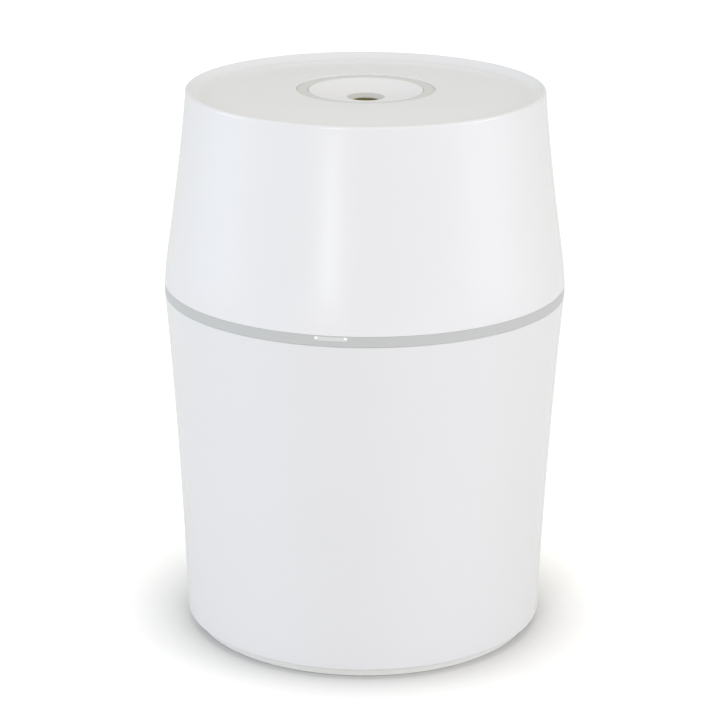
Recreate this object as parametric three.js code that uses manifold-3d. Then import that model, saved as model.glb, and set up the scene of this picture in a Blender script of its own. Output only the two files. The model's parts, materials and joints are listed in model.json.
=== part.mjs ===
// Cordless essential oil diffuser, barrel shaped, about 92 mm across and 127 mm tall.
//
// A lift-off cover with a small mist nozzle stands on a satin trim ring. Under the cover a drop-in
// oil cartridge (glass bottle, wick and vibrating-mesh atomizer) hangs in a moulded chassis. Three
// AA cells, the drive board and a slide switch sit in the lower housing, closed by a base plate
// with a tab-hinged battery door.
//
// Units are millimetres, +Z is up, the front is -Y. The origin is the centre of the footprint on
// the surface that the diffuser stands on. Profiles are drawn as (radius, height) and revolved.

import * as THREE from 'three';
import { mergeVertices } from 'three/addons/utils/BufferGeometryUtils.js';
import Module from 'manifold-3d';

const wasm = await Module();
wasm.setup();

// ---------------------------------------------------------------- driving dimensions

const TOTAL_HEIGHT = 127.1; // top of the crown round the cover
const BODY_RADIUS = 46; // at the trim ring, the widest place
const RING_BOTTOM = 79.75;
const RING_TOP = 82.35;
const WALL = 2.2; // housing and cover wall
const GAP = 0.3; // running and assembly clearance

const BASE_RADIUS = 39.6;
const BASE_BOTTOM = 0.4; // the base plate hangs this far above the table, on its rubber pads
const BASE_SHOULDER = 2.0;
const BASE_FACE = 2.4; // inside face of the base plate

const DECK_TOP = 81; // deck of the chassis, round the cartridge turret
const DECK_BOTTOM = 79.4;
const WELL_FLOOR = 34;
const WELL_RADIUS = 13.7;
const TURRET_TOP = 109.1;
const TURRET_BORE = 15.4;

const BOTTLE_RADIUS = 13;
const DRUM_RADIUS = 14.8; // the part of the atomizer that drops into the turret
const DISH_RADIUS = 13; // of the mist dish in the middle of the cover
const NOZZLE_RADIUS = 3.05;

const CELL_RADIUS = 7.15; // AA cell
const CELL_LENGTH = 49.2; // without its button
const CELL_ORBIT = 24; // distance from the axis to each cell's centre
const CELL_BEARINGS = [50, 90, 130]; // degrees, counter-clockwise from +X
const DOOR_RADIUS = 32.3;
const DOOR_FRONT = 9.8; // Y of the door's straight edge, which is its hinge line
const SWITCH_TRAVEL = 6;
const SWITCH_Y = -23;
const BOARD_FRONT = -26.6; // Y of the main board's front face
const BOARD_THICKNESS = 1.6;
const SCREW_ORBIT = 35.6;

// Facets round a full turn.
const OUTER = 40;
const INNER = 32;
const MEDIUM = 20;
const SMALL = 12;
const TINY = 8;

const degrees = THREE.MathUtils.degToRad;

// ---------------------------------------------------------------- materials

const plastic = (color, roughness) => new THREE.MeshStandardMaterial({ color, roughness, metalness: 0 });
const metal = (color, roughness) => new THREE.MeshStandardMaterial({ color, roughness, metalness: 1 });

const FINISH = {
  shell: plastic(0xe8e8ea, 0.38),
  chassis: plastic(0xe2e2df, 0.5),
  trim: new THREE.MeshStandardMaterial({ color: 0xc7c9c8, roughness: 0.35, metalness: 0.3 }),
  lens: plastic(0xe6ecec, 0.12),
  base: plastic(0xd6d7d3, 0.5),
  rubber: plastic(0x4a4a4a, 0.9),
  gasket: plastic(0x5c5530, 0.7),
  seal: plastic(0xb9b5aa, 0.6),
  glass: new THREE.MeshStandardMaterial({ color: 0xc98a3a, roughness: 0.06, transparent: true, opacity: 0.5 }),
  wick: plastic(0xe9e2d0, 0.95),
  steel: metal(0xc9ccd0, 0.3),
  brass: metal(0xb99a4c, 0.35),
  ceramic: plastic(0xd9cfae, 0.5),
  cell: metal(0x3f7a5a, 0.4),
  board: plastic(0x1f5a38, 0.55),
  dark: plastic(0x26282b, 0.5),
  redWire: plastic(0xb02a26, 0.5),
  blackWire: plastic(0x1c1c1e, 0.5),
};

// ---------------------------------------------------------------- shape helpers

/** A closed geometry as a manifold solid, turned right side out. */
function solidOf(geometry) {
  const bare = new THREE.BufferGeometry();
  const flat = geometry.index ? geometry.toNonIndexed() : geometry;
  bare.setAttribute('position', flat.getAttribute('position'));
  const merged = mergeVertices(bare, 1e-4);
  const corners = merged.index.array;
  const faces = [];
  for (let i = 0; i < corners.length; i += 3) {
    const [a, b, c] = corners.slice(i, i + 3);
    if (a !== b && b !== c && c !== a) faces.push(a, b, c);
  }
  const vertProperties = merged.attributes.position.array;
  const build = (corner) => {
    const triVerts = new Uint32Array(corner);
    return new wasm.Manifold(new wasm.Mesh({ numProp: 3, vertProperties, triVerts }));
  };
  const made = build(faces);
  return made.volume() < 0 ? build(faces.reverse()) : made;
}

/** A manifold solid as a three.js geometry. */
function geometryOf(solid) {
  const mesh = solid.getMesh();
  const made = new THREE.BufferGeometry();
  made.setAttribute('position', new THREE.BufferAttribute(new Float32Array(mesh.vertProperties), 3));
  made.setIndex(new THREE.BufferAttribute(new Uint32Array(mesh.triVerts), 1));
  made.computeVertexNormals();
  return made;
}

/** One geometry with others cut out of it. */
function cut(body, ...tools) {
  return geometryOf(tools.reduce((left, tool) => left.subtract(solidOf(tool)), solidOf(body)));
}

/** Several touching geometries joined into one. */
function join(body, ...others) {
  return geometryOf(others.reduce((whole, other) => whole.add(solidOf(other)), solidOf(body)));
}

/** The closed (radius, height) outline of a Shape, revolved about +Z. */
function revolve(outline, facets, curveSteps = 4) {
  const points = outline.getPoints(curveSteps);
  if (points[0].distanceTo(points[points.length - 1]) > 1e-6) points.push(points[0].clone());
  return new THREE.LatheGeometry(points, facets).rotateX(Math.PI / 2);
}

/** A Shape made of straight lines through the points given. */
function polygon(...points) {
  return new THREE.Shape(points.map(([x, y]) => new THREE.Vector2(x, y)));
}

/** A ring or tube between two radii and two heights. */
function tube(inner, outer, bottom, top, facets) {
  return revolve(polygon([inner, bottom], [outer, bottom], [outer, top], [inner, top]), facets);
}

/** A solid disc or rod on the Z axis. */
function rod(radius, bottom, top, facets) {
  return revolve(polygon([0, bottom], [radius, bottom], [radius, top], [0, top]), facets);
}

/** A Shape in the XY plane, extruded up from bottom to top. */
function prism(shape, bottom, top, curveSegments = 6) {
  const made = new THREE.ExtrudeGeometry(shape, { depth: top - bottom, bevelEnabled: false, curveSegments });
  return made.translate(0, 0, bottom);
}

/** A Shape drawn in the YZ plane as (y, z), extruded across X and centred on x. */
function crosswise(shape, width, x = 0, curveSegments = 6) {
  const made = new THREE.ExtrudeGeometry(shape, { depth: width, bevelEnabled: false, curveSegments });
  return made.rotateY(Math.PI / 2).rotateX(Math.PI / 2).translate(x - width / 2, 0, 0);
}

/** A Shape drawn in the XZ plane as (x, z), extruded along Y from front to back. */
function lengthwise(shape, front, back, curveSegments = 6) {
  const made = new THREE.ExtrudeGeometry(shape, { depth: back - front, bevelEnabled: false, curveSegments });
  return made.rotateX(Math.PI / 2).translate(0, back, 0);
}

/** A box between two corners. */
function block(x0, y0, z0, x1, y1, z1) {
  const made = new THREE.BoxGeometry(x1 - x0, y1 - y0, z1 - z0);
  return made.translate((x0 + x1) / 2, (y0 + y1) / 2, (z0 + z1) / 2);
}

/** A copy of a geometry, moved. */
const moved = (geometry, x, y, z) => geometry.clone().translate(x, y, z);

/** A copy of a geometry, turned about the Z axis by an angle in degrees. */
const turned = (geometry, bearing) => geometry.clone().rotateZ(degrees(bearing));

/** A copy of a geometry moved to a distance and bearing from the axis, keeping its height. */
const orbit = (geometry, distance, bearing) => turned(moved(geometry, distance, 0, 0), bearing);

/** A round-sided wire along a curve. */
function wire(curve, radius, steps, sides) {
  const corners = [];
  for (let i = 0; i < sides; i += 1) {
    const a = (2 * Math.PI * i) / sides;
    corners.push([radius * Math.cos(a), radius * Math.sin(a)]);
  }
  const settings = { steps, bevelEnabled: false, extrudePath: curve };
  return join(new THREE.ExtrudeGeometry(polygon(...corners), settings));
}

/** A slot with round ends, centred on (x, y). */
function pill(x, y, length, width) {
  const run = (length - width) / 2;
  return new THREE.Shape()
    .absarc(x + run, y, width / 2, -Math.PI / 2, Math.PI / 2, false)
    .absarc(x - run, y, width / 2, Math.PI / 2, (3 * Math.PI) / 2, false);
}

/** A circular segment: straight front edge, arc behind it, rounded corners. */
function segmentOutline(radius, front, corner) {
  const cy = front + corner;
  const cx = Math.sqrt((radius - corner) ** 2 - cy ** 2);
  const a = Math.atan2(cy, cx);
  return new THREE.Shape()
    .absarc(0, 0, radius, a, Math.PI - a, false)
    .absarc(-cx, cy, corner, Math.PI - a, 1.5 * Math.PI, false)
    .absarc(cx, cy, corner, 1.5 * Math.PI, 2 * Math.PI + a, false);
}

/** Part of a flat ring, centred on the +X side, with square ends. */
function arcOutline(inner, outer, halfSpan) {
  const from = degrees(-halfSpan);
  const to = degrees(halfSpan);
  return new THREE.Shape().absarc(0, 0, outer, from, to, false).absarc(0, 0, inner, to, from, true);
}

/** A named mesh. */
function piece(name, geometry, material) {
  const mesh = new THREE.Mesh(geometry.index ? geometry : join(geometry), material);
  mesh.name = name;
  return mesh;
}

/** A mesh moved to a place. */
function placed(mesh, x, y, z) {
  mesh.position.set(x, y, z);
  return mesh;
}

/** A mesh or group turned about the Z axis to a bearing in degrees. */
function facing(object, bearing) {
  object.rotation.z = degrees(bearing);
  return object;
}

/** A mesh stood at a distance and bearing from the axis. */
function atBearing(mesh, distance, bearing, height = 0) {
  return facing(new THREE.Group().add(placed(mesh, distance, 0, height)), bearing);
}

function group(...children) {
  return new THREE.Group().add(...children);
}

// ---------------------------------------------------------------- outer shape

// The wall bows out from the foot to the ring, rounds over above it and draws in to the crown.
const FOOT_RADIUS = 41.7;
const FOOT_BOTTOM = 2.2;
const FOOT_ROUND = 0.6;
const HOUSING_TOP = 79.6;
const HOUSING_BOW = [42.86, 41.35]; // control point of the lower curve
const COVER_BOTTOM = 82.5;
const SHOULDER = [44.9, 92];
const SHOULDER_BOW = [45.89, 85.33];
const CROWN_RADIUS = 40.74;
const CROWN_BASE = 126;
const COVER_BOW = [41.85, 112.58];

const DOME_EDGE = [38, 125.6]; // where the domed top meets the inside of the crown
const DOME_TOP = 127; // height the dome would reach on the axis
const RECESS_RADIUS = 15.7; // of the seat for the mist dish
const RECESS_FLOOR = 125.1;
const COVER_CEILING = 123.4; // underside of the top
const SKIRT_HOLE = 10.8;

/** Height of the domed top at a radius. */
function domeHeight(radius) {
  return DOME_TOP - (DOME_TOP - DOME_EDGE[1]) * (radius / DOME_EDGE[0]) ** 2;
}

// ---------------------------------------------------------------- cover

const REGISTER_RADIUS = 42.6; // collar of the chassis that centres the cover

function coverShell() {
  const inside = CROWN_RADIUS - WALL;
  const outline = new THREE.Shape()
    .moveTo(BODY_RADIUS, COVER_BOTTOM)
    .quadraticCurveTo(...SHOULDER_BOW, ...SHOULDER)
    .quadraticCurveTo(...COVER_BOW, CROWN_RADIUS, CROWN_BASE)
    .lineTo(CROWN_RADIUS - 0.3, TOTAL_HEIGHT - 0.3)
    .lineTo(CROWN_RADIUS - 1.1, TOTAL_HEIGHT)
    .lineTo(CROWN_RADIUS - 1.8, TOTAL_HEIGHT - 0.3)
    .lineTo(...DOME_EDGE)
    .quadraticCurveTo((DOME_EDGE[0] + RECESS_RADIUS) / 2, DOME_TOP - 0.25, RECESS_RADIUS, domeHeight(RECESS_RADIUS))
    .lineTo(RECESS_RADIUS, RECESS_FLOOR)
    .lineTo(SKIRT_HOLE, RECESS_FLOOR)
    .lineTo(SKIRT_HOLE, COVER_CEILING)
    .lineTo(inside - 2, COVER_CEILING)
    .lineTo(inside + 0.2, COVER_CEILING - 2.2)
    .quadraticCurveTo(COVER_BOW[0] - WALL + 0.1, COVER_BOW[1], SHOULDER[0] - WALL, SHOULDER[1])
    .lineTo(REGISTER_RADIUS + 0.75, COVER_BOTTOM + 4.2)
    .lineTo(REGISTER_RADIUS + 0.45, COVER_BOTTOM + 3.2)
    .lineTo(REGISTER_RADIUS + 0.45, COVER_BOTTOM);
  return revolve(outline, OUTER, 3);
}

/** Radial stiffening ribs under the top, and three snap nibs that click on to the collar. */
function coverDetails() {
  const rib = crosswise(
    polygon([20, COVER_CEILING + 0.5], [20, 121.4], [37.5, 117.2], [39.6, 117.2], [38.8, COVER_CEILING + 0.5]),
    1.2,
  );
  const ribs = [0, 60, 120, 180, 240, 300].map((bearing) => turned(rib, bearing));
  const hoop = tube(20, 21.4, 121.4, COVER_CEILING + 0.5, INNER);
  const nib = block(REGISTER_RADIUS + 0.2, -4, COVER_BOTTOM + 1.6, REGISTER_RADIUS + 1.2, 4, COVER_BOTTOM + 2.6);
  const nibs = [30, 150, 270].map((bearing) => turned(nib, bearing));
  return [hoop, ...ribs, ...nibs];
}

/** The shallow dish that the mist leaves through, snapped into the middle of the cover. */
function nozzleDish() {
  const rimHeight = 126.55;
  const flangeTop = 126;
  const mouth = [4.25, 124.86];
  const outline = new THREE.Shape()
    .moveTo(NOZZLE_RADIUS, 121.6)
    .lineTo(6.5, 121.6)
    .lineTo(6.5, 123.2)
    .lineTo(9, 124.2)
    .lineTo(9, 121)
    .lineTo(10.3, 121)
    .lineTo(11.2, 122.2)
    .lineTo(11.2, 122.9)
    .lineTo(10.4, COVER_CEILING - GAP)
    .lineTo(10.4, RECESS_FLOOR + GAP)
    .lineTo(RECESS_RADIUS - GAP, RECESS_FLOOR + GAP)
    .lineTo(RECESS_RADIUS - GAP, flangeTop)
    .lineTo(DISH_RADIUS + 0.15, flangeTop)
    .lineTo(DISH_RADIUS, rimHeight - 0.25)
    .lineTo(DISH_RADIUS - 0.3, rimHeight)
    .quadraticCurveTo(mouth[0] + 4.4, mouth[1] + 0.62, ...mouth)
    .lineTo(NOZZLE_RADIUS, 124.15);
  return revolve(outline, MEDIUM, 3);
}

function coverGroup() {
  return group(
    piece('top_cover', join(coverShell(), ...coverDetails()), FINISH.shell),
    piece('nozzle_dish', nozzleDish(), FINISH.shell),
    piece('nozzle_gasket', nozzleGasket(), FINISH.gasket),
  );
}

/** Soft collar under the dish that meets the atomizer's face. */
function nozzleGasket() {
  return revolve(
    polygon([3.2, 119.9], [4.6, 119.9], [6.2, 120.7], [6.2, 121.5], [3.2, 121.5]),
    MEDIUM,
  );
}

// ---------------------------------------------------------------- lower housing, ring and lens

const LENS_HEIGHT = 81.35; // centre of the status light's window
const LENS_WIDTH = 7.4;
const LENS_THICK = 1.15;

function lowerHousing() {
  const rabbetRadius = 44.6;
  const outline = new THREE.Shape()
    .moveTo(FOOT_RADIUS - WALL - GAP, FOOT_BOTTOM)
    .lineTo(FOOT_RADIUS - FOOT_ROUND, FOOT_BOTTOM)
    .lineTo(FOOT_RADIUS, FOOT_BOTTOM + FOOT_ROUND)
    .quadraticCurveTo(...HOUSING_BOW, BODY_RADIUS - 0.03, HOUSING_TOP)
    .lineTo(rabbetRadius, HOUSING_TOP)
    .lineTo(rabbetRadius, 77.6)
    .lineTo(BODY_RADIUS - WALL - 0.2, 77.6)
    .quadraticCurveTo(HOUSING_BOW[0] - WALL - 0.3, HOUSING_BOW[1], FOOT_RADIUS - WALL - GAP, FOOT_BOTTOM + 4);
  const shell = revolve(outline, OUTER, 4);

  // Screw bosses, each tied to the wall by a web.
  const boss = join(rod(3, 5.8, 21, TINY), block(0, -0.8, 5.8, 4.6, 0.8, 18));
  const hole = rod(1.3, 5, 17, TINY);
  const bearings = [45, 135, 225, 315];
  const bosses = bearings.map((bearing) => orbit(boss, SCREW_ORBIT, bearing));
  const holes = bearings.map((bearing) => orbit(hole, SCREW_ORBIT, bearing));
  return cut(join(shell, ...bosses), ...holes);
}

function trimRing() {
  const outline = polygon(
    [43, RING_BOTTOM],
    [BODY_RADIUS - 0.15, RING_BOTTOM],
    [BODY_RADIUS, RING_BOTTOM + 0.15],
    [BODY_RADIUS, RING_TOP - 0.15],
    [BODY_RADIUS - 0.15, RING_TOP],
    [43, RING_TOP],
  );
  const window = lengthwise(pill(0, LENS_HEIGHT, LENS_WIDTH + 0.24, LENS_THICK + 0.24), -50, -41);
  return cut(revolve(outline, OUTER), window);
}

/** Clear light pipe: window in the ring, then down behind the deck to the lamp on the board. */
function statusLens() {
  const face = lengthwise(pill(0, LENS_HEIGHT, LENS_WIDTH, LENS_THICK), -50, -42.4);
  const pipe = crosswise(
    polygon(
      [-43.2, LENS_HEIGHT - 0.55],
      [-40, LENS_HEIGHT - 0.55],
      [-38.6, LENS_HEIGHT - 1.9],
      [-38.6, 71.4],
      [-37.4, 70.2],
      [-28.8, 70.2],
      [-28.8, 72.2],
      [-36.4, 72.2],
      [-36.4, LENS_HEIGHT - 1.2],
      [-37.9, LENS_HEIGHT + 0.55],
      [-43.2, LENS_HEIGHT + 0.55],
    ),
    6,
  );
  const outside = tube(BODY_RADIUS, BODY_RADIUS + 9, 60, 90, OUTER);
  return cut(join(face, pipe), outside);
}

// ---------------------------------------------------------------- chassis and contacts

const LEAF_BEARINGS = { low: 250, high: 290 };

function chassisShell() {
  const outline = new THREE.Shape()
    .moveTo(0, WELL_FLOOR - 1.6)
    .lineTo(WELL_RADIUS + 1.6, WELL_FLOOR - 1.6)
    .lineTo(WELL_RADIUS + 1.6, DECK_BOTTOM)
    .lineTo(40.4, DECK_BOTTOM)
    .lineTo(40.4, 72)
    .lineTo(42, 72)
    .lineTo(42, 77.9)
    .lineTo(44.3, 77.9)
    .lineTo(44.3, 79.3)
    .lineTo(REGISTER_RADIUS, 79.3)
    .lineTo(REGISTER_RADIUS, 87.2)
    .quadraticCurveTo(REGISTER_RADIUS, 88, REGISTER_RADIUS - 0.8, 88)
    .lineTo(41, 88)
    .lineTo(41, DECK_TOP)
    .lineTo(25, DECK_TOP)
    .quadraticCurveTo(20.6, DECK_TOP, 20.1, DECK_TOP + 5)
    .lineTo(18.2, TURRET_TOP - 1.2)
    .quadraticCurveTo(18, TURRET_TOP, 16.8, TURRET_TOP)
    .lineTo(TURRET_BORE + 0.6, TURRET_TOP)
    .lineTo(TURRET_BORE, TURRET_TOP - 0.8)
    .lineTo(TURRET_BORE, 95)
    .lineTo(WELL_RADIUS, 93.4)
    .lineTo(WELL_RADIUS, WELL_FLOOR)
    .lineTo(0, WELL_FLOOR);
  return revolve(outline, INNER, 2);
}

function chassis() {
  // Lugs for the main board, and posts that hold the battery cradle down.
  const boardBack = BOARD_FRONT + BOARD_THICKNESS + GAP;
  const lug = (x) => block(x - 2.5, boardBack, 64, x + 2.5, boardBack + 3.2, DECK_BOTTOM + 0.4);
  const pilot = (x) => rod(0.85, -0.5, 2.8, TINY).rotateX(-Math.PI / 2).translate(x, boardBack, 67);
  const post = rod(2.2, 63, DECK_BOTTOM + 0.4, TINY);
  const posts = [64, 116].map((bearing) => orbit(post, 28, bearing));
  const body = join(chassisShell(), lug(-9), lug(9), ...posts);

  // Slots that the contact leaves stand in, the light pipe's pocket, a drain and collar detents.
  const slot = crosswise(
    polygon([15.6, 78], [17.2, 78], [17.2, 108], [14.4, 108], [14.4, 96], [15.6, 96]),
    3.4,
  );
  const slots = Object.values(LEAF_BEARINGS).map((bearing) => turned(slot, bearing - 90));
  const pocket = block(-4.6, -46, 70, 4.6, -35.6, 82.6);
  const drain = rod(2, WELL_FLOOR - 3, WELL_FLOOR + 2, TINY);
  const detent = block(REGISTER_RADIUS - 0.5, -4.6, COVER_BOTTOM + 1.2, REGISTER_RADIUS + 1, 4.6, COVER_BOTTOM + 3);
  const detents = [30, 150, 270].map((bearing) => turned(detent, bearing));
  return cut(body, ...slots, pocket, drain, ...detents, pilot(-9), pilot(9));
}

/** Sprung strip standing in its slot, with a bowed nose that presses on a contact band. */
function contactLeaf(noseHeight) {
  const back = 16.6;
  const nose = DRUM_RADIUS + GAP;
  const thick = 0.35;
  const side = polygon(
    [back, 62],
    [back, noseHeight - 3.2],
    [nose + thick, noseHeight - 0.6],
    [nose + thick, noseHeight + 0.6],
    [back, noseHeight + 2.6],
    [back - thick, noseHeight + 2.6],
    [nose, noseHeight + 0.6],
    [nose, noseHeight - 0.6],
    [back - thick, noseHeight - 3.2],
    [back - thick, 62],
  );
  return crosswise(side, 2.6).rotateZ(-Math.PI / 2);
}

const BAND_LOW = 100.6;
const BAND_HIGH = 104.6;
const BAND_HEIGHT = 2;

function contactLeaves() {
  return [
    facing(piece('contact_leaf_low', contactLeaf(BAND_LOW), FINISH.brass), LEAF_BEARINGS.low),
    facing(piece('contact_leaf_high', contactLeaf(BAND_HIGH), FINISH.brass), LEAF_BEARINGS.high),
  ];
}

// ---------------------------------------------------------------- oil cartridge

function oilBottle() {
  const bottom = WELL_FLOOR + 0.4;
  const neck = 7.4;
  const outline = new THREE.Shape()
    .moveTo(0, bottom + 1)
    .lineTo(7, bottom + 0.6)
    .lineTo(9, bottom)
    .lineTo(BOTTLE_RADIUS - 2, bottom)
    .quadraticCurveTo(BOTTLE_RADIUS, bottom, BOTTLE_RADIUS, bottom + 2)
    .lineTo(BOTTLE_RADIUS, 86)
    .quadraticCurveTo(BOTTLE_RADIUS, 91, neck + 1.2, 92.6)
    .quadraticCurveTo(neck, 93, neck, 94.2)
    .lineTo(neck, 103.4)
    .lineTo(5.7, 103.4)
    .lineTo(5.7, 93.4)
    .quadraticCurveTo(11.7, 90.6, 11.7, 86)
    .lineTo(11.7, bottom + 3)
    .quadraticCurveTo(11.7, bottom + 2, 10, bottom + 2)
    .lineTo(0, bottom + 2.6);
  return revolve(outline, MEDIUM, 2);
}

/** Base of the atomizer: screws on to the bottle's neck, carries the bands and the mesh stack. */
function atomizerBase() {
  const outline = polygon(
    [3.4, 105.4],
    [7.9, 105.4],
    [7.9, 97],
    [9.4, 97],
    [9.4, 107],
    [13.1, 107],
    [13.1, 97],
    [DRUM_RADIUS - 0.3, 97],
    [DRUM_RADIUS, 97.6],
    [DRUM_RADIUS, BAND_LOW - 1.1],
    [DRUM_RADIUS - 0.6, BAND_LOW - 1.1],
    [DRUM_RADIUS - 0.6, BAND_LOW + 1.1],
    [DRUM_RADIUS, BAND_LOW + 1.1],
    [DRUM_RADIUS, BAND_HIGH - 1.1],
    [DRUM_RADIUS - 0.6, BAND_HIGH - 1.1],
    [DRUM_RADIUS - 0.6, BAND_HIGH + 1.1],
    [DRUM_RADIUS, BAND_HIGH + 1.1],
    [DRUM_RADIUS, 109.4],
    [17.4, 109.4],
    [18, 110],
    [18, 112],
    [17.4, 112.6],
    [13.5, 112.6],
    [13.5, 116.6],
    [9.6, 116.6],
    [9.6, 115],
    [3.4, 115],
  );
  return revolve(outline, MEDIUM);
}

function atomizerCap() {
  const outline = new THREE.Shape()
    .moveTo(3.8, 117.9)
    .lineTo(12.6, 117.9)
    .lineTo(13.8, 116.8)
    .lineTo(13.8, 112.9)
    .lineTo(15, 112.9)
    .lineTo(15, 116.6)
    .quadraticCurveTo(14.8, 119.6, 11, 119.6)
    .lineTo(4.6, 119.6)
    .lineTo(3.8, 119);
  return revolve(outline, MEDIUM, 2);
}

function cartridgeGroup() {
  const plug = polygon([2.7, 96], [5.4, 96], [5.4, 103.7], [7.2, 103.7], [7.2, 104.9], [2.7, 104.9]);
  const band = (height) =>
    tube(DRUM_RADIUS - 0.4, DRUM_RADIUS, height - BAND_HEIGHT / 2, height + BAND_HEIGHT / 2, MEDIUM);
  return group(
    piece('oil_bottle', oilBottle(), FINISH.glass),
    piece('wick_plug', revolve(plug, SMALL), FINISH.seal),
    piece('wick', rod(2.4, 38, 115.8, TINY), FINISH.wick),
    piece('atomizer_base', atomizerBase(), FINISH.chassis),
    piece('contact_band_low', band(BAND_LOW), FINISH.brass),
    piece('contact_band_high', band(BAND_HIGH), FINISH.brass),
    piece('seal_ring_low', tube(5, 8.9, 115.15, 115.85, SMALL), FINISH.seal),
    piece('mesh_plate', rod(9, 116, 116.25, SMALL), FINISH.brass),
    piece('piezo_ring', tube(4, 8, 116.4, 116.95, SMALL), FINISH.ceramic),
    piece('seal_ring_high', tube(5, 8.9, 117.05, 117.75, SMALL), FINISH.seal),
    piece('atomizer_cap', atomizerCap(), FINISH.chassis),
  );
}

// ---------------------------------------------------------------- batteries

const CONTACT_LOW = 3.2; // upper face of the door's contact plates
const CONTACT_HIGH = 60.7; // lower face of the contacts over the cells
const CELL_BOTTOM = CONTACT_HIGH - CELL_LENGTH - 1.6; // of the two cells that stand button up

/** An AA cell standing on the XY plane, button up. */
function cell() {
  const outline = new THREE.Shape()
    .moveTo(0, 0)
    .lineTo(CELL_RADIUS - 0.7, 0)
    .lineTo(CELL_RADIUS, 0.6)
    .lineTo(CELL_RADIUS, CELL_LENGTH - 0.6)
    .lineTo(CELL_RADIUS - 0.7, CELL_LENGTH)
    .lineTo(2.7, CELL_LENGTH)
    .lineTo(2.5, CELL_LENGTH + 1.3)
    .lineTo(0, CELL_LENGTH + 1.3);
  return revolve(outline, SMALL);
}

/** Conical coil spring standing on the XY plane. */
class SpringCurve extends THREE.Curve {
  constructor(height, turns, wide, narrow) {
    super();
    Object.assign(this, { height, turns, wide, narrow });
  }

  getPoint(t, target = new THREE.Vector3()) {
    const radius = this.wide + (this.narrow - this.wide) * t;
    const a = 2 * Math.PI * this.turns * t;
    return target.set(radius * Math.cos(a), radius * Math.sin(a), this.height * t);
  }
}

const SPRING_WIRE = 0.4;

function cellSpring(height) {
  const curve = new SpringCurve(height - 2 * SPRING_WIRE, 3.5, 4, 2.4);
  return wire(curve, SPRING_WIRE, 28, 4).translate(0, 0, SPRING_WIRE);
}

/** Kidney-shaped block with three bores, open at the door and closed over the cells. */
function batteryCradle() {
  const reach = 8.2;
  const [first, , last] = CELL_BEARINGS;
  const end = (bearing) => [CELL_ORBIT * Math.cos(degrees(bearing)), CELL_ORBIT * Math.sin(degrees(bearing))];
  const outline = new THREE.Shape()
    .absarc(0, 0, CELL_ORBIT + reach, degrees(first), degrees(last), false)
    .absarc(...end(last), reach, degrees(last), degrees(last + 180), false)
    .absarc(0, 0, CELL_ORBIT - reach, degrees(last), degrees(first), true)
    .absarc(...end(first), reach, degrees(first + 180), degrees(first + 360), false);
  const bore = rod(CELL_RADIUS + 0.4, 4, 61.2, SMALL);
  const bores = CELL_BEARINGS.map((bearing) => orbit(bore, CELL_ORBIT, bearing));

  // Feet that stand on the base plate, clear of the door: two behind the cells and one in front.
  const stand = BASE_FACE + GAP;
  const rearFoot = (x) =>
    crosswise(polygon([31, 14], [31, 5.4], [33.4, 5.4], [33.4, stand], [36.2, stand], [36.2, 9]), 1.6, x);
  const frontFoot = crosswise(polygon([16.2, 20], [16.2, 6], [8.8, 6], [8.8, stand], [5.4, stand], [5.4, 9]), 6);
  return join(cut(prism(outline, 5.4, 62.7, 6), ...bores), rearFoot(-5), rearFoot(5), frontFoot);
}

/** Flat metal strap over two neighbouring cells. */
function contactStrap(from, to, bottom) {
  const radius = 4.6;
  const pads = [from, to].map((bearing) => orbit(rod(radius, bottom, bottom + GAP, SMALL), CELL_ORBIT, bearing));
  const middle = (from + to) / 2;
  const half = CELL_ORBIT * Math.sin(degrees(Math.abs(to - from) / 2));
  const bridge = block(-2, -half, bottom, 2, half, bottom + GAP);
  const inset = CELL_ORBIT * Math.cos(degrees(Math.abs(to - from) / 2));
  return join(...pads, orbit(bridge, inset, middle));
}

function batteryGroup() {
  const [right, middle, left] = CELL_BEARINGS;
  const upright = (name) => piece(name, cell(), FINISH.cell);
  const inverted = piece('cell_middle', cell().rotateX(Math.PI), FINISH.cell);
  const invertedTop = CELL_LENGTH + CONTACT_LOW + 1.6;
  const springGeometry = cellSpring(CONTACT_HIGH - invertedTop - GAP).rotateX(Math.PI);
  const spring = piece('cradle_spring', springGeometry, FINISH.steel);
  const contact = (name) => piece(name, rod(4.6, 0, GAP, SMALL), FINISH.steel);
  return group(
    piece('battery_cradle', batteryCradle(), FINISH.dark),
    atBearing(upright('cell_left'), CELL_ORBIT, left, CELL_BOTTOM),
    atBearing(inverted, CELL_ORBIT, middle, invertedTop),
    atBearing(upright('cell_right'), CELL_ORBIT, right, CELL_BOTTOM),
    atBearing(contact('cradle_contact_left'), CELL_ORBIT, left, CONTACT_HIGH),
    atBearing(contact('cradle_contact_middle'), CELL_ORBIT, middle, CONTACT_HIGH),
    atBearing(contact('cradle_contact_right'), CELL_ORBIT, right, CONTACT_HIGH),
    atBearing(spring, CELL_ORBIT, middle, CONTACT_HIGH - 0.1),
  );
}

// ---------------------------------------------------------------- electronics

const BOARD_BACK = BOARD_FRONT + BOARD_THICKNESS;
const COMPONENT_FACE = BOARD_FRONT - 0.1; // the parts on the board stand off it by this hair

function mainBoard() {
  const hole = (x) => rod(1.2, -1, 3, TINY).rotateX(-Math.PI / 2).translate(x, BOARD_FRONT, 67);
  return cut(block(-13, BOARD_FRONT, 9, 13, BOARD_BACK, 74), hole(-9), hole(9));
}

/** Drum-core inductor, standing on the XY plane. */
function driveCoil() {
  return revolve(
    polygon([0, 0], [5, 0], [5, 1.2], [3.6, 1.6], [3.6, 4.6], [5, 5], [5, 6.2], [0, 6.2]),
    SMALL,
  );
}

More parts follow.
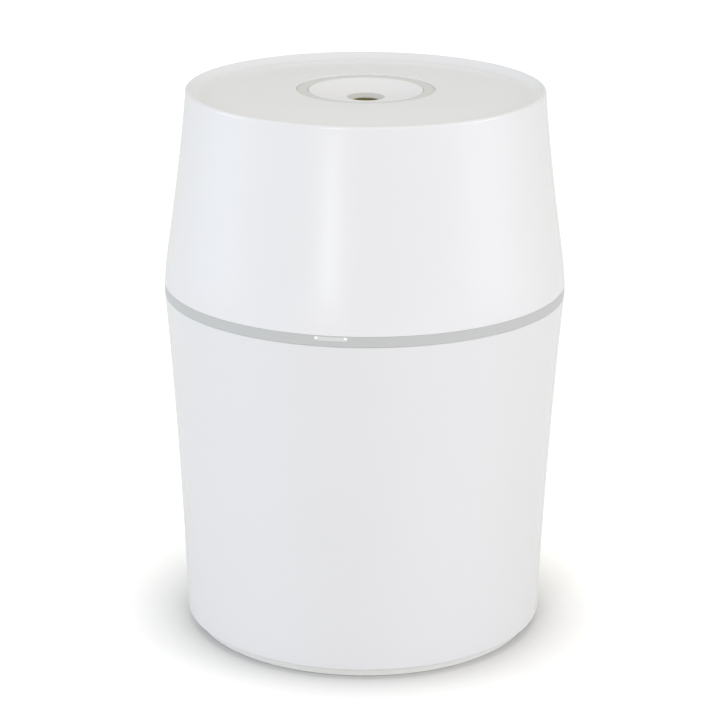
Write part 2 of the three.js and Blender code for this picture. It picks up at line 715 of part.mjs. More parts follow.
/** Insulated lead from the socket on the board to the foot of a contact leaf. */
function lead(x, bearing) {
  const leafFoot = new THREE.Vector3(17.6, 0, 62.4).applyAxisAngle(new THREE.Vector3(0, 0, 1), degrees(bearing));
  const route = new THREE.CatmullRomCurve3([
    new THREE.Vector3(x, BOARD_BACK + 3.4, 50),
    new THREE.Vector3(x, BOARD_BACK + 4.2, 54),
    new THREE.Vector3((x + leafFoot.x) / 2, (BOARD_BACK + 4 + leafFoot.y) / 2, 58),
    leafFoot,
  ]);
  return wire(route, 0.55, 10, 6);
}

/** A mesh that stands on the XY plane, laid against the front of the board. */
function onBoard(mesh, x, z, y = COMPONENT_FACE) {
  mesh.rotation.x = Math.PI / 2;
  return placed(mesh, x, y, z);
}

function electronicsGroup() {
  const screw = (name) => piece(name, fastener(1.9, 1.2, 0.8, 4.2), FINISH.steel);
  return group(
    piece('main_board', mainBoard(), FINISH.board),
    onBoard(piece('controller_chip', block(-3.5, -3.5, 0, 3.5, 3.5, 1.2), FINISH.dark), -0.5, 47.5),
    onBoard(piece('drive_coil', driveCoil(), FINISH.dark), -5.5, 58),
    onBoard(piece('filter_capacitor', rod(3.2, 0, 7.5, SMALL), FINISH.cell), 6.5, 30),
    onBoard(piece('status_led', block(-1.6, -1.3, 0, 1.6, 1.3, 1.6), FINISH.lens), 0, 71.2),
    piece('lead_socket', block(-5.5, BOARD_BACK + 0.1, 44.5, 5.5, BOARD_BACK + 4.6, 49.7), FINISH.shell),
    piece('lead_red', lead(-2.6, LEAF_BEARINGS.low), FINISH.redWire),
    piece('lead_black', lead(2.6, LEAF_BEARINGS.high), FINISH.blackWire),
    piece('slide_switch', block(-6, BOARD_BACK + 0.1, 8, 6, SWITCH_Y + 2.2, 12.4), FINISH.dark),
    onBoard(screw('board_screw_left'), -9, 67),
    onBoard(screw('board_screw_right'), 9, 67),
  );
}

/** Pan-head screw on the Z axis, head upward from zero, shank below it. */
function fastener(headRadius, headHeight, shankRadius, shankLength) {
  const outline = new THREE.Shape()
    .moveTo(0, -shankLength)
    .lineTo(shankRadius * 0.5, -shankLength)
    .lineTo(shankRadius, 1 - shankLength)
    .lineTo(shankRadius, 0)
    .lineTo(headRadius, 0)
    .quadraticCurveTo(headRadius, headHeight, headRadius * 0.55, headHeight)
    .lineTo(0, headHeight);
  return revolve(outline, TINY, 2);
}

// ---------------------------------------------------------------- base, door and switch

const PAD_INNER = 33.9;
const PAD_OUTER = 37.9;
const PADS = [
  { side: 'front', bearing: 270, halfSpan: 31 },
  { side: 'right', bearing: 0, halfSpan: 31 },
  { side: 'rear_right', bearing: 67, halfSpan: 9 },
  { side: 'rear_left', bearing: 113, halfSpan: 9 },
  { side: 'left', bearing: 180, halfSpan: 31 },
];
const LEDGE = 1; // the step that the door closes against
const LEDGE_BOTTOM = 1.9;

function basePlate() {
  const outline = new THREE.Shape()
    .moveTo(0, BASE_BOTTOM)
    .lineTo(BASE_RADIUS - 0.4, BASE_BOTTOM)
    .lineTo(BASE_RADIUS, BASE_BOTTOM + 0.4)
    .lineTo(BASE_RADIUS, BASE_SHOULDER)
    .lineTo(38.8, BASE_SHOULDER)
    .lineTo(38.8, 5.4)
    .lineTo(37.3, 5.4)
    .lineTo(37.3, BASE_FACE)
    .lineTo(0, BASE_FACE);
  const disc = revolve(outline, OUTER, 2);
  const collar = rod(3, BASE_FACE - 0.2, 5.5, TINY);
  const bearings = [45, 135, 225, 315];
  const collars = bearings.map((bearing) => orbit(collar, SCREW_ORBIT, bearing));

  const door = prism(segmentOutline(DOOR_RADIUS + GAP, DOOR_FRONT - GAP, 2.8), -1, LEDGE_BOTTOM);
  const through = prism(segmentOutline(DOOR_RADIUS + GAP - LEDGE, DOOR_FRONT - GAP + LEDGE, 2), 1, 4);
  const grip = turned(prism(arcOutline(30, 36.6, 9), -1, 1.3, 3), 90);
  const shank = rod(1.7, -1, 7, TINY);
  const head = rod(3.05, -1, 2, 10);
  const screwHoles = bearings.map((bearing) => orbit(join(shank, head), SCREW_ORBIT, bearing));
  const padSeats = PADS.map(({ bearing, halfSpan }) =>
    turned(prism(arcOutline(PAD_INNER - 0.15, PAD_OUTER + 0.15, halfSpan + 0.3), -1, 1.4, 4), bearing),
  );
  const switchSlot = prism(pill(0, SWITCH_Y, 14.6, 5), -1, 4, 4);

  // A forked post each side holds the lower edge of the main board.
  const post = (x) => block(x - 2, BOARD_FRONT - 2, BASE_FACE - 0.2, x + 2, BOARD_FRONT + BOARD_THICKNESS + 2, 13);
  const edge = block(-13.3, BOARD_FRONT - GAP, 8.7, 13.3, BOARD_FRONT + BOARD_THICKNESS + GAP, 14);
  const posts = [post(-12.6), post(12.6)];
  return cut(join(disc, ...collars, ...posts), door, through, ...screwHoles, ...padSeats, grip, switchSlot, edge);
}

/** Battery door: closes against the ledge, with two tabs that reach over the frame behind it. */
function batteryDoor() {
  const bottom = 0.6;
  const inset = LEDGE + GAP;
  const lower = prism(segmentOutline(DOOR_RADIUS, DOOR_FRONT, 2.5), bottom, LEDGE_BOTTOM - 0.2);
  const upper = prism(segmentOutline(DOOR_RADIUS - inset, DOOR_FRONT + inset, 1.7), bottom, BASE_FACE + 0.2);
  const tab = (x) =>
    crosswise(
      polygon(
        [DOOR_FRONT + inset + 2.4, BASE_FACE],
        [DOOR_FRONT + inset + 2.4, 3.8],
        [6.6, 3.8],
        [6.6, 3],
        [DOOR_FRONT + inset + 0.2, 3],
        [DOOR_FRONT + inset + 0.2, BASE_FACE],
      ),
      6,
      x,
    );
  const relief = (x) => block(x - 0.5, 26.4, -1, x + 0.5, 33, 4);
  return cut(join(lower, upper, tab(-20), tab(20)), relief(-4.5), relief(4.5));
}

function doorGroup() {
  const [right, middle, left] = CELL_BEARINGS;
  const spring = (name) => piece(name, cellSpring(CELL_BOTTOM - CONTACT_LOW - 0.3), FINISH.steel);
  const single = piece('door_contact_single', rod(4.6, -GAP, 0, SMALL), FINISH.steel);
  return group(
    piece('battery_door', batteryDoor(), FINISH.base),
    piece('door_contact_pair', contactStrap(right, middle, CONTACT_LOW - GAP), FINISH.steel),
    atBearing(single, CELL_ORBIT, left, CONTACT_LOW),
    atBearing(spring('door_spring_right'), CELL_ORBIT, right, CONTACT_LOW + 0.1),
    atBearing(spring('door_spring_left'), CELL_ORBIT, left, CONTACT_LOW + 0.1),
  );
}

/** Knob under the base with its retaining plate and fork, centred on its own position. */
function modeSlider() {
  const knob = prism(pill(0, 0, 8, 4.2), 1, BASE_FACE + 0.6, 4);
  const plate = block(-7, -3.6, BASE_FACE + GAP, 7, 3.2, BASE_FACE + 1.2);
  const fork = block(-2.2, -1.5, BASE_FACE + 1, 2.2, 1.5, 5.6);
  const notch = block(-0.95, -3, 4.2, 0.95, 3, 7);
  const groove = (x) => block(x - 0.3, -1.6, 0, x + 0.3, 1.6, 1.4);
  return cut(join(knob, plate, fork), notch, groove(-1.6), groove(0), groove(1.6));
}

/** The switch is drawn at its left stop; it travels SWITCH_TRAVEL along +X. */
function switchGroup() {
  const lever = block(-0.65, -0.8, 4.5, 0.65, 0.8, 7.7);
  const moving = group(
    piece('mode_slider', modeSlider(), FINISH.dark),
    piece('switch_lever', lever, FINISH.steel),
  );
  return placed(moving, -SWITCH_TRAVEL / 2, SWITCH_Y, 0);
}

function baseGroup() {
  const pad = (side, halfSpan) =>
    piece(`foot_pad_${side}`, prism(arcOutline(PAD_INNER, PAD_OUTER, halfSpan), 0, 1.3, 4), FINISH.rubber);
  const screw = (number) => {
    const made = piece(`base_screw_${number}`, fastener(2.7, 1.3, 1.2, 12).rotateX(Math.PI), FINISH.steel);
    return atBearing(made, SCREW_ORBIT, 90 * number - 45, 1.9);
  };
  return group(
    piece('base_plate', basePlate(), FINISH.base),
    ...PADS.map(({ side, bearing, halfSpan }) => facing(pad(side, halfSpan), bearing)),
    ...[1, 2, 3, 4].map(screw),
  );
}

// ---------------------------------------------------------------- assembly

const diffuser = new THREE.Group();
diffuser.add(
  coverGroup(),
  piece('trim_ring', trimRing(), FINISH.trim),
  piece('status_lens', statusLens(), FINISH.lens),
  piece('lower_housing', lowerHousing(), FINISH.shell),
  piece('chassis', chassis(), FINISH.chassis),
  ...contactLeaves(),
  cartridgeGroup(),
  batteryGroup(),
  electronicsGroup(),
  doorGroup(),
  switchGroup(),
  baseGroup(),
);

export default diffuser;
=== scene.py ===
"""Visual model of a cordless essential oil diffuser.

Sizes are in millimetres while a piece is being shaped; the finished mesh is scaled to metres. The
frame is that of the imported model: +Z up, the front with the status light at -Y, and the origin on
the table under the centre of the footprint.
"""

from __future__ import annotations

import json
import logging
import math
from collections.abc import Callable, Iterable, Sequence
from dataclasses import dataclass, field
from enum import Enum

import bmesh
import bpy
from mathutils import Matrix, Vector
from mathutils.geometry import interpolate_bezier

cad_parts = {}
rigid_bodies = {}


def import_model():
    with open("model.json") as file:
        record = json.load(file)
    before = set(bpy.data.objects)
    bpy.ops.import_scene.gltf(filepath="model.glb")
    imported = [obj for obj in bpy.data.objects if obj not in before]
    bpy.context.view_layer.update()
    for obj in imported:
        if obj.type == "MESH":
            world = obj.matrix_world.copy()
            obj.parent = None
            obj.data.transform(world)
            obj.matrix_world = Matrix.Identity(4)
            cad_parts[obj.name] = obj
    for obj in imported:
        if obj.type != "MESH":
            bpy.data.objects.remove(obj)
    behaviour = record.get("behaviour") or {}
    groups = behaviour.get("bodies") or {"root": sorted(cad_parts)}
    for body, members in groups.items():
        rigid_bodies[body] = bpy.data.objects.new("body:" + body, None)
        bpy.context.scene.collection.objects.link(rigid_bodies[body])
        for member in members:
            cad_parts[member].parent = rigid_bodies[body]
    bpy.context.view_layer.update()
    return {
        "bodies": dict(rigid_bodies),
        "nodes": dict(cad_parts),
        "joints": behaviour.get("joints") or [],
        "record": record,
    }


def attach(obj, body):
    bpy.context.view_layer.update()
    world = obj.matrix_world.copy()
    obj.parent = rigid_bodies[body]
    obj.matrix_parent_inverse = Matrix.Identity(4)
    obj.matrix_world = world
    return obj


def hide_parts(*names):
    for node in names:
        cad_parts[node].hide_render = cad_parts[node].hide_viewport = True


LOG = logging.getLogger("diffuser")
MM = 0.001
MERGE = 1e-4  # millimetres between points that count as one
SLIVER = 1e-5  # millimetres across a face that counts as none
SAME = 1e-6  # millimetres between heights that count as equal
Colour = tuple[float, float, float]


class Sides(Enum):
    """How many facets a full turn has."""

    SHELL = 160
    LARGE = 96
    MEDIUM = 64
    SMALL = 40
    TINY = 24


class Body(Enum):
    """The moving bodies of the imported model."""

    BASE = "base"
    COVER = "cover"
    CARTRIDGE = "cartridge"
    DOOR = "battery_door"
    SWITCH = "mode_switch"


class Axis(Enum):
    """The frame's axes."""

    X = (1.0, 0.0, 0.0)
    Y = (0.0, 1.0, 0.0)
    Z = (0.0, 0.0, 1.0)


# ------------------------------------------------------------------------------- shaping


@dataclass(frozen=True)
class Corner:
    """A corner of a turned profile.

    Attributes:
        radius: Distance from the axis.
        height: Height above the table.
        rounding: How far from the corner its rounding starts, or 0 for a plain corner.
        steps: Facets in the rounding.
    """

    radius: float
    height: float
    rounding: float = 0.0
    steps: int = 4


def bow(start: Sequence[float], pull: Sequence[float], end: Sequence[float], count: int) -> list[Corner]:
    """Lays corners along a curve.

    Args:
        start: Radius and height where the curve starts.
        pull: The point that both ends of the curve aim at.
        end: Radius and height where it ends.
        count: How many corners, both ends included.

    Returns:
        The corners in order.
    """
    first, middle, last = (Vector(point) for point in (start, pull, end))
    points = interpolate_bezier(first, first.lerp(middle, 2 / 3), last.lerp(middle, 2 / 3), last, count)
    return [Corner(point.x, point.y) for point in points]


class Workpiece:
    """A mesh in the making, with the operators that shape it."""

    def __init__(self) -> None:
        """Starts with nothing."""
        self.bm = bmesh.new()

    def _bevel(self, parts: list, size: float, segments: int, affect: str) -> None:
        """Rounds vertices or edges of the mesh."""
        bmesh.ops.bevel(
            self.bm, geom=parts, offset=size, offset_type="OFFSET", segments=segments, profile=0.5,
            affect=affect, clamp_overlap=affect == "EDGES", material=-1,
        )  # fmt: skip

    def _spin(self, parts: list, angle: float, steps: int, rise: float = 0.0, merge: bool = False) -> None:
        """Sweeps parts about the upright axis, climbing by `rise` with every step."""
        bmesh.ops.spin(
            self.bm, geom=parts, cent=(0, 0, 0), axis=Axis.Z.value, dvec=(0, 0, rise), angle=angle,
            steps=steps, use_merge=merge, use_duplicate=False,
        )  # fmt: skip

    def _cap(self, sides: int) -> Workpiece:
        """Fills open ends of at most so many sides."""
        open_edges = [edge for edge in self.bm.edges if edge.is_boundary]
        bmesh.ops.holes_fill(self.bm, edges=open_edges, sides=sides)
        return self

    def turn(self, profile: Sequence[Corner | tuple], sides: Sides, closed: bool = True) -> Workpiece:
        """Revolves a profile about the upright axis.

        Args:
            profile: The corners in order, each a Corner or its values as a tuple.
            sides: Facets round the full turn.
            closed: Whether the last corner joins the first; a profile that starts and ends on
                the axis stays open.

        Returns:
            This workpiece.
        """
        before = set(self.bm.verts)
        corners = [item if isinstance(item, Corner) else Corner(*item) for item in profile]
        verts = [self.bm.verts.new((c.radius, 0.0, c.height)) for c in corners]
        for pair in zip(verts, verts[1:] + (verts[:1] if closed else [])):
            self.bm.edges.new(pair)
        for vert, corner in zip(verts, corners):
            if corner.rounding > 0:
                self._bevel([vert], corner.rounding, corner.steps, "VERTICES")
        outline = [v for v in self.bm.verts if v not in before]
        wires = dict.fromkeys(edge for vert in outline for edge in vert.link_edges)
        self._spin(outline + list(wires), math.tau, sides.value, merge=True)
        return self.tidy()

    def drum(self, radius: float, bottom: float, top: float, sides: Sides, edge: float = 0.0) -> Workpiece:
        """Adds a solid disc or rod on the axis, with rounded rims of size `edge`."""
        corners = [
            (0, bottom), (radius, bottom, edge, 3), (radius, top, edge, 3), (0, top),
        ]
        return self.turn(corners, sides, closed=False)

    def sleeve(
        self, inner: float, outer: float, bottom: float, top: float, sides: Sides, edge: float = 0.0
    ) -> Workpiece:
        """Adds a tube on the axis, with rounded rims of size `edge`."""
        corners = [
            (inner, bottom, edge, 2), (outer, bottom, edge, 2), (outer, top, edge, 2),
            (inner, top, edge, 2),
        ]
        return self.turn(corners, sides)

    def block(self, low: Sequence[float], high: Sequence[float]) -> Workpiece:
        """Adds a box between two corners."""
        size = [b - a for a, b in zip(low, high)]
        centre = Vector([(a + b) / 2 for a, b in zip(low, high)])
        made = bmesh.ops.create_cube(self.bm, size=1.0)
        bmesh.ops.scale(self.bm, vec=size, verts=made["verts"])
        bmesh.ops.translate(self.bm, vec=centre, verts=made["verts"])
        return self

    def bar(self, outline: Sequence[Sequence[float]], width: float, centre: float = 0.0) -> Workpiece:
        """Extrudes an outline across the front.

        Args:
            outline: Corners as (y, z).
            width: Length along X.
            centre: X of the middle.

        Returns:
            This workpiece.
        """
        verts = [self.bm.verts.new((centre - width / 2, y, z)) for y, z in outline]
        return self.raise_face(self.bm.faces.new(verts), (width, 0, 0))

    def pill(
        self, centre: Sequence[float], length: float, width: float, bottom: float, top: float, sides: Sides
    ) -> Workpiece:
        """Adds an upright block with round ends, long along X.

        Args:
            centre: X and Y of its middle.
            length: Overall length along X.
            width: Width along Y.
            bottom: Lower height.
            top: Upper height.
            sides: Facets in both ends together.

        Returns:
            This workpiece.
        """
        half_step = Matrix.Rotation(math.pi / sides.value, 4, "Z")
        made = bmesh.ops.create_circle(
            self.bm, cap_ends=True, radius=width / 2, segments=sides.value, matrix=half_step
        )
        run = (length - width) / 2
        for vert in made["verts"]:
            vert.co += Vector((math.copysign(run, vert.co.x) + centre[0], centre[1], bottom))
        return self.raise_face(made["verts"][0].link_faces[0], (0, 0, top - bottom))

    def segment(self, radius: float, front: float, corner: float, bottom: float, top: float) -> Workpiece:
        """Adds a slab shaped as the part of a disc behind a straight front edge.

        Args:
            radius: The disc's radius.
            front: Y of the straight edge.
            corner: Rounding of the two corners.
            bottom: Lower height.
            top: Upper height.

        Returns:
            This workpiece.
        """
        lift = Matrix.Translation((0, 0, bottom))
        made = bmesh.ops.create_circle(
            self.bm, cap_ends=True, radius=radius, segments=Sides.LARGE.value, matrix=lift
        )
        face = made["verts"][0].link_faces[0]
        geometry = [face, *face.verts, *face.edges]
        bmesh.ops.bisect_plane(
            self.bm, geom=geometry, plane_co=(0, front, 0), plane_no=(0, 1, 0), clear_inner=True
        )
        face = next(f for f in self.bm.faces if abs(f.calc_center_median().z - bottom) < SAME)
        sharp = [v for v in face.verts if abs(v.co.y - front) < MERGE]
        self._bevel(sharp, corner, 6, "VERTICES")
        face = next(f for f in self.bm.faces if abs(f.calc_center_median().z - bottom) < SAME)
        return self.raise_face(face, (0, 0, top - bottom))

    def arc_bar(
        self, inner: float, outer: float, half_span: float, bottom: float, top: float, steps: int = 24
    ) -> Workpiece:
        """Adds part of a flat ring, centred on +X, spanning `half_span` degrees each way."""
        start = Matrix.Rotation(math.radians(-half_span), 4, "Z")
        places = [(inner, 0, bottom), (outer, 0, bottom), (outer, 0, top), (inner, 0, top)]
        verts = [self.bm.verts.new(start @ Vector(place)) for place in places]
        face = self.bm.faces.new(verts)
        self._spin([face], math.radians(2 * half_span), steps)
        return self._cap(4).tidy()

    def coil(self, wire: float, wide: float, narrow: float, height: float, turns: float) -> Workpiece:
        """Adds a conical spring that stands on the height 0.

        Args:
            wire: Radius of the wire.
            wide: Radius of the lowest turn, at the wire's middle.
            narrow: Radius of the highest turn.
            height: Overall height.
            turns: Number of turns.

        Returns:
            This workpiece.
        """
        upright = Matrix.Translation((wide, 0, wire)) @ Matrix.Rotation(math.pi / 2, 4, "X")
        made = bmesh.ops.create_circle(self.bm, cap_ends=True, radius=wire, segments=10, matrix=upright)
        face = made["verts"][0].link_faces[0]
        steps = round(turns * 28)
        rise = (height - 2 * wire) / steps
        self._spin([face], math.tau * turns, steps, rise)
        self._cap(12)
        for vert in self.bm.verts:
            part = min(max((vert.co.z - wire) / (height - 2 * wire), 0.0), 1.0)
            centre = Vector((vert.co.x, vert.co.y, 0)).normalized()
            vert.co += centre * (narrow - wide) * part
        return self.tidy()

    def raise_face(self, face: bmesh.types.BMFace, travel: Sequence[float]) -> Workpiece:
        """Extrudes a lone face into a solid."""
        made = bmesh.ops.extrude_face_region(self.bm, geom=[face])
        moved = [item for item in made["geom"] if isinstance(item, bmesh.types.BMVert)]
        bmesh.ops.translate(self.bm, vec=travel, verts=moved)
        return self.tidy()

    def tidy(self) -> Workpiece:
        """Merges doubled points, drops slivers and turns the faces outwards."""
        bmesh.ops.remove_doubles(self.bm, verts=self.bm.verts[:], dist=MERGE)
        bmesh.ops.dissolve_degenerate(self.bm, edges=self.bm.edges[:], dist=SLIVER)
        bmesh.ops.recalc_face_normals(self.bm, faces=self.bm.faces[:])
        return self.settle()

    def settle(self) -> Workpiece:
        """Puts the edges and faces in an order that is the same on every run."""
        self.bm.verts.index_update()
        for items in (self.bm.edges, self.bm.faces):
            ordered = sorted(items, key=lambda item: sorted(vert.index for vert in item.verts))
            rank = {item: number for number, item in enumerate(ordered)}
            items.sort(key=rank.__getitem__)
            items.index_update()
        return self

    def soften(
        self,
        size: float,
        segments: int = 2,
        angle: float = 40.0,
        where: Callable[[bmesh.types.BMEdge], bool] | None = None,
    ) -> Workpiece:
        """Rounds the sharp edges.

        Args:
            size: Width of the rounding.
            segments: Facets across it.
            angle: Edges that turn by more than this many degrees count as sharp.
            where: A further test that an edge has to pass.

        Returns:
            This workpiece.
        """
        limit = math.radians(angle)
        sharp = [
            edge
            for edge in self.bm.edges
            if len(edge.link_faces) == 2
            and edge.calc_face_angle() > limit
            and (where is None or where(edge))
        ]
        self._bevel(sharp, size, segments, "EDGES")
        return self.settle()

    def move(self, x: float = 0.0, y: float = 0.0, z: float = 0.0) -> Workpiece:
        """Shifts everything made so far."""
        bmesh.ops.translate(self.bm, vec=(x, y, z), verts=self.bm.verts[:])
        return self

    def rotate(self, degrees: float, axis: Axis = Axis.Z) -> Workpiece:
        """Turns everything made so far about an axis through the origin."""
        turn = Matrix.Rotation(math.radians(degrees), 3, Vector(axis.value))
        bmesh.ops.rotate(self.bm, cent=(0, 0, 0), matrix=turn, verts=self.bm.verts[:])
        return self

    def orbit(self, distance: float, bearing: float) -> Workpiece:
        """Moves everything made so far to a distance and bearing from the axis."""
        return self.move(x=distance).rotate(bearing)

    def copies(self, bearings: Iterable[float]) -> list[Workpiece]:
        """Copies of this workpiece, each turned to a bearing."""
        made = []
        for bearing in bearings:
            copy = Workpiece()
            copy.bm = self.bm.copy()
            made.append(copy.rotate(bearing))
        return made

    def as_object(self, name: str) -> bpy.types.Object:
        """Makes a scene object of the mesh as it stands, in millimetres."""
        mesh = bpy.data.meshes.new(name)
        self.bm.to_mesh(mesh)
        made = bpy.data.objects.new(name, mesh)
        bpy.context.scene.collection.objects.link(made)
        return made

    def combine(self, operation: str, *others: Workpiece) -> Workpiece:
        """Joins, cuts or intersects this solid with others.

        Args:
            operation: UNION, DIFFERENCE or INTERSECT.
            *others: The other solids, one at a time.

        Returns:
            This workpiece.
        """
        target = self.as_object("work")
        tools = [other.as_object("tool") for other in others]
        for tool in tools:
            step = target.modifiers.new("step", "BOOLEAN")
            step.operation = operation
            step.solver = "EXACT"
            step.object = tool
        result = target.evaluated_get(bpy.context.evaluated_depsgraph_get())
        shaped = bmesh.new()
        shaped.from_mesh(result.to_mesh())
        result.to_mesh_clear()
        for item in [target, *tools]:
            mesh = item.data
            bpy.data.objects.remove(item)
            bpy.data.meshes.remove(mesh)
        self.bm.free()
        self.bm = shaped
        return self.tidy()

    def carve(self, *tools: Workpiece) -> Workpiece:
        """Cuts tools out of this solid."""
        return self.combine("DIFFERENCE", *tools)

    def weld(self, *others: Workpiece) -> Workpiece:
        """Joins solids to this one."""
        return self.combine("UNION", *others)


# ------------------------------------------------------------------------------- materials


class NodeDesk:
    """Adds nodes to a tree and joins their sockets."""

    def __init__(self, tree: bpy.types.NodeTree) -> None:
        """Works on one node tree."""
        self.tree = tree

    def add(
        self, kind: str, inputs: dict[str | int, object] | None = None, **settings: object
    ) -> bpy.types.Node:
        """Adds a node.

        Args:
            kind: The node's type name.
            inputs: A value for each input socket named, or another node's output to link to it.
            **settings: The node's own properties.

        Returns:
            The node.
        """
        node = self.tree.nodes.new(kind)
        for name, value in settings.items():
            setattr(node, name, value)
        for name, value in (inputs or {}).items():
            if isinstance(value, bpy.types.NodeSocket):
                self.tree.links.new(value, node.inputs[name])
            else:
                node.inputs[name].default_value = value
        return node

    def maths(self, operation: str, *values: object, **settings: object) -> bpy.types.NodeSocket:
        """Adds a sum of numbers or outputs, and returns its result."""
        return self.add("ShaderNodeMath", dict(enumerate(values)), operation=operation, **settings).outputs[0]

    def noise(self, place: object, scale: object, detail: float) -> bpy.types.NodeSocket:
        """Adds a noise pattern, and returns its strength."""
        inputs = {"Vector": place, "Scale": scale, "Detail": detail}
        return self.add("ShaderNodeTexNoise", inputs).outputs["Fac"]

    def spread(
        self, value: object, low: float, high: float, least: object = 0.0, most: object = 1.0
    ) -> bpy.types.NodeSocket:
        """Stretches a value from low...high to least...most, and returns the result."""
        inputs = {"Value": value, "From Min": low, "From Max": high, "To Min": least, "To Max": most}
        return self.add("ShaderNodeMapRange", inputs).outputs[0]

    def parts(self, vector: object) -> bpy.types.NodeOutputs:
        """Splits a vector, and returns its X, Y and Z outputs."""
        return self.add("ShaderNodeSeparateXYZ", {0: vector}).outputs

    def as_seen(self, given: bpy.types.Node, seen: bpy.types.Node) -> bpy.types.NodeSocket:
        """Shows one shader to the camera and gives the other to everything else."""
        path = self.add("ShaderNodeLightPath")
        inputs = {0: path.outputs["Is Camera Ray"], 1: given.outputs[0], 2: seen.outputs[0]}
        return self.add("ShaderNodeMixShader", inputs).outputs[0]


class Effects:
    """Shader node groups that several finishes share."""

    def __init__(self) -> None:
        """Builds each group once."""
        self.moulding = self._moulding()
        self.wear = self._wear()
        self.brushing = self._brushing()
        self.dust = self._dust()

    @staticmethod
    def _open(
        name: str, inputs: dict[str, tuple[str, object]], outputs: dict[str, str]
    ) -> tuple[bpy.types.NodeTree, NodeDesk, bpy.types.Node]:
        """Starts a group with named sockets.

        Args:
            name: The group's name.
            inputs: Socket type and default for each input.
            outputs: Socket type for each output.

        Returns:
            The group, a desk for it, and its input node.
        """
        tree = bpy.data.node_groups.new(name, "ShaderNodeTree")
        for label, (kind, default) in inputs.items():
            socket = tree.interface.new_socket(label, in_out="INPUT", socket_type=kind)
            if default is not None:
                socket.default_value = default
        for label, kind in outputs.items():
            tree.interface.new_socket(label, in_out="OUTPUT", socket_type=kind)
        desk = NodeDesk(tree)
        return tree, desk, desk.add("NodeGroupInput")

    def _moulding(self) -> bpy.types.NodeTree:
        """Injection-moulded surface: fine spark-eroded grain and a faint cloudy flow."""
        tree, desk, given = self._open(
            "moulded_surface",
            {
                "Place": ("NodeSocketVector", None),
                "Grain": ("NodeSocketFloat", 2600.0),
                "Flow": ("NodeSocketFloat", 45.0),
                "Least": ("NodeSocketFloat", 0.3),
                "Most": ("NodeSocketFloat", 0.4),
            },
            {"Tone": "NodeSocketFloat", "Roughness": "NodeSocketFloat", "Height": "NodeSocketFloat"},
        )
        place = given.outputs["Place"]
        flow = desk.noise(place, given.outputs["Flow"], 2.0)
        grain = desk.noise(place, given.outputs["Grain"], 3.0)
        mixed = desk.maths("MULTIPLY_ADD", grain, 0.35, flow)
        rough = desk.spread(mixed, 0.45, 0.9, given.outputs["Least"], given.outputs["Most"])
        desk.add("NodeGroupOutput", {"Tone": flow, "Roughness": rough, "Height": grain})
        return tree

    def _wear(self) -> bpy.types.NodeTree:
        """Mask that is bright on handled outer edges, broken up so that it isn't even."""
        tree, desk, given = self._open(
            "handled_edges",
            {
                "Place": ("NodeSocketVector", None),
                "Break": ("NodeSocketFloat", 400.0),
                "Amount": ("NodeSocketFloat", 0.5),
            },
            {"Mask": "NodeSocketFloat"},
        )
        shape = desk.add("ShaderNodeNewGeometry")
        edge = desk.spread(shape.outputs["Pointiness"], 0.52, 0.62)
        patch = desk.noise(given.outputs["Place"], given.outputs["Break"], 3.0)
        broken = desk.maths("MULTIPLY", edge, patch)
        mask = desk.maths("MULTIPLY", broken, given.outputs["Amount"], use_clamp=True)
        desk.add("NodeGroupOutput", {"Mask": mask})
        return tree

    def _brushing(self) -> bpy.types.NodeTree:
        """Fine streaks along one direction, for drawn and rolled metal."""
        tree, desk, given = self._open(
            "drawn_metal",
            {
                "Place": ("NodeSocketVector", None),
                "Stretch": ("NodeSocketVector", (60.0, 60.0, 4000.0)),
                "Least": ("NodeSocketFloat", 0.2),
                "Most": ("NodeSocketFloat", 0.4),
            },
            {"Streak": "NodeSocketFloat", "Roughness": "NodeSocketFloat"},
        )
        ends = {0: given.outputs["Place"], 1: given.outputs["Stretch"]}
        scaled = desk.add("ShaderNodeVectorMath", ends, operation="MULTIPLY")
        streak = desk.noise(scaled.outputs[0], 1.0, 4.0)
        rough = desk.spread(streak, 0.3, 0.7, given.outputs["Least"], given.outputs["Most"])
        desk.add("NodeGroupOutput", {"Streak": streak, "Roughness": rough})
        return tree

    def _dust(self) -> bpy.types.NodeTree:
        """Mask of the little dust that settles on faces that look up."""
        tree, desk, given = self._open(
            "settled_dust",
            {
                "Place": ("NodeSocketVector", None),
                "Speck": ("NodeSocketFloat", 900.0),
                "Amount": ("NodeSocketFloat", 0.2),
            },
            {"Mask": "NodeSocketFloat"},
        )
        shape = desk.add("ShaderNodeNewGeometry")
        upward = desk.spread(desk.parts(shape.outputs["Normal"])["Z"], 0.6, 1.0)
        specks = desk.noise(given.outputs["Place"], given.outputs["Speck"], 4.0)
        both = desk.maths("MULTIPLY", upward, desk.spread(specks, 0.45, 0.8))
        desk.add("NodeGroupOutput", {"Mask": desk.maths("MULTIPLY", both, given.outputs["Amount"])})
        return tree


